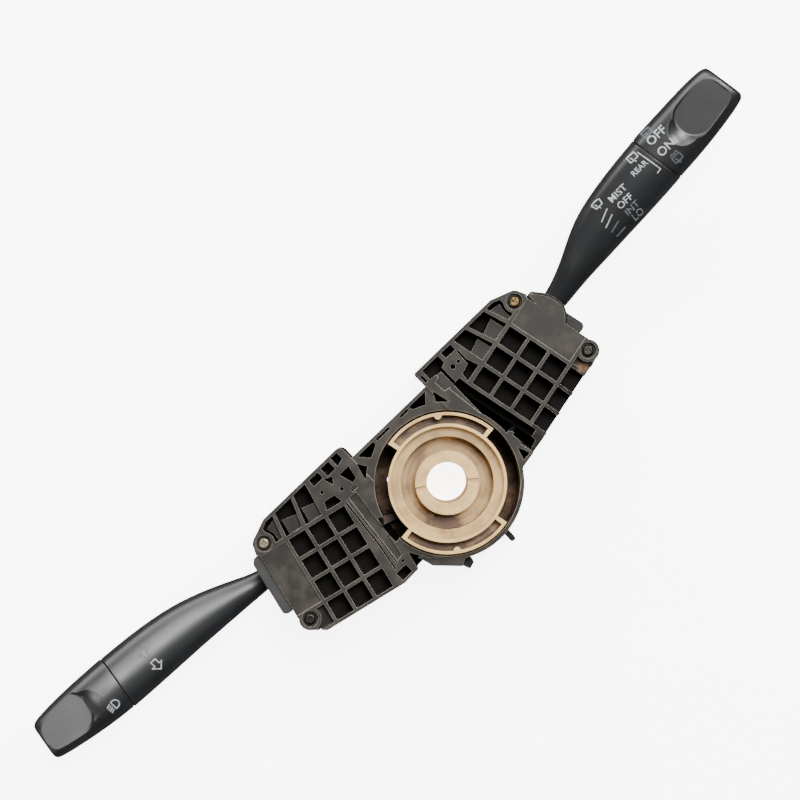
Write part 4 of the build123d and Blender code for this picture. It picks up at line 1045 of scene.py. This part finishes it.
class STALKSWITCH_OT_mechanism(bpy.types.Operator):
    """Finish of the parts inside the modules: holders, detents, contacts and connectors"""

    bl_idname = "stalk_switch.mechanism"
    bl_label = "Mechanism"

    def execute(self, context):
        white = moulded_plastic("moulded_white_acetal", "#cfc5ad", "#bdb196", 0.4, depth_mm=0.01, ior=1.48)
        steel = bpy.data.materials["ground_steel"]
        grey = moulded_plastic("moulded_grey_acetal", "#8d8a82", "#7d796f", 0.42, depth_mm=0.01, ior=1.48)
        pale = moulded_plastic("moulded_natural_pbt", "#c9c3b2", "#b5ad99", 0.45, depth_mm=0.012, ior=1.55)
        spring = finished_metal("drawn_spring_steel", "#8f9092", "#6c6d70", 0.3)
        brass = finished_metal("rolled_brass", "#cfa75a", "#a07c3a", 0.24)
        laminate = phenolic_laminate()
        finishes = {
            "contact_board": laminate, "connector": pale, "terminals": brass, "detent_plate": white,
            "holder": grey, "pivot_pins": steel, "plunger": steel, "plunger_spring": spring,
            "contact_carrier": pale, "contact_bridges": brass,
        }
        for side in SIDES:
            for name, material in finishes.items():
                dress_node(f"{side}_{name}", material)
        return {"FINISHED"}


class STALKSWITCH_PT_panel(bpy.types.Panel):
    """Shows the switch's settings and a button for each of its steps"""

    bl_idname = "STALKSWITCH_PT_panel"
    bl_label = "Stalk Switch"
    bl_space_type = "VIEW_3D"
    bl_region_type = "UI"
    bl_category = "Stalk Switch"

    def draw(self, context):
        layout = self.layout
        for name, group in SETTINGS.items():
            box = layout.box()
            for setting in group.__annotations__:
                box.prop(getattr(context.scene, name), setting)
        for operator in OPERATORS:
            layout.operator(operator.bl_idname)


SETTINGS = {
    "stalk_switch_sizes": StalkSwitchSizes,
    "stalk_switch_finishes": StalkSwitchFinishes,
    "stalk_switch_stage": StalkSwitchStage,
}
# In working order: the camera first, and the legends after the pieces that they lie on.
OPERATORS = (
    STALKSWITCH_OT_stage,
    STALKSWITCH_OT_base,
    STALKSWITCH_OT_sleeve,
    STALKSWITCH_OT_stalks,
    STALKSWITCH_OT_knobs,
    STALKSWITCH_OT_screws,
    STALKSWITCH_OT_mechanism,
    STALKSWITCH_OT_legends,
)


def register():
    for group in SETTINGS.values():
        bpy.utils.register_class(group)
    for operator in OPERATORS:
        bpy.utils.register_class(operator)
    bpy.utils.register_class(STALKSWITCH_PT_panel)
    for name, group in SETTINGS.items():
        setattr(bpy.types.Scene, name, PointerProperty(type=group))


def unregister():
    for name in SETTINGS:
        delattr(bpy.types.Scene, name)
    bpy.utils.unregister_class(STALKSWITCH_PT_panel)
    for operator in reversed(OPERATORS):
        bpy.utils.unregister_class(operator)
    for group in reversed(list(SETTINGS.values())):
        bpy.utils.unregister_class(group)


def main():
    register()
    for operator in OPERATORS:
        group, name = operator.bl_idname.split(".")
        getattr(getattr(bpy.ops, group), name)()


if __name__ == "__main__":
    main()
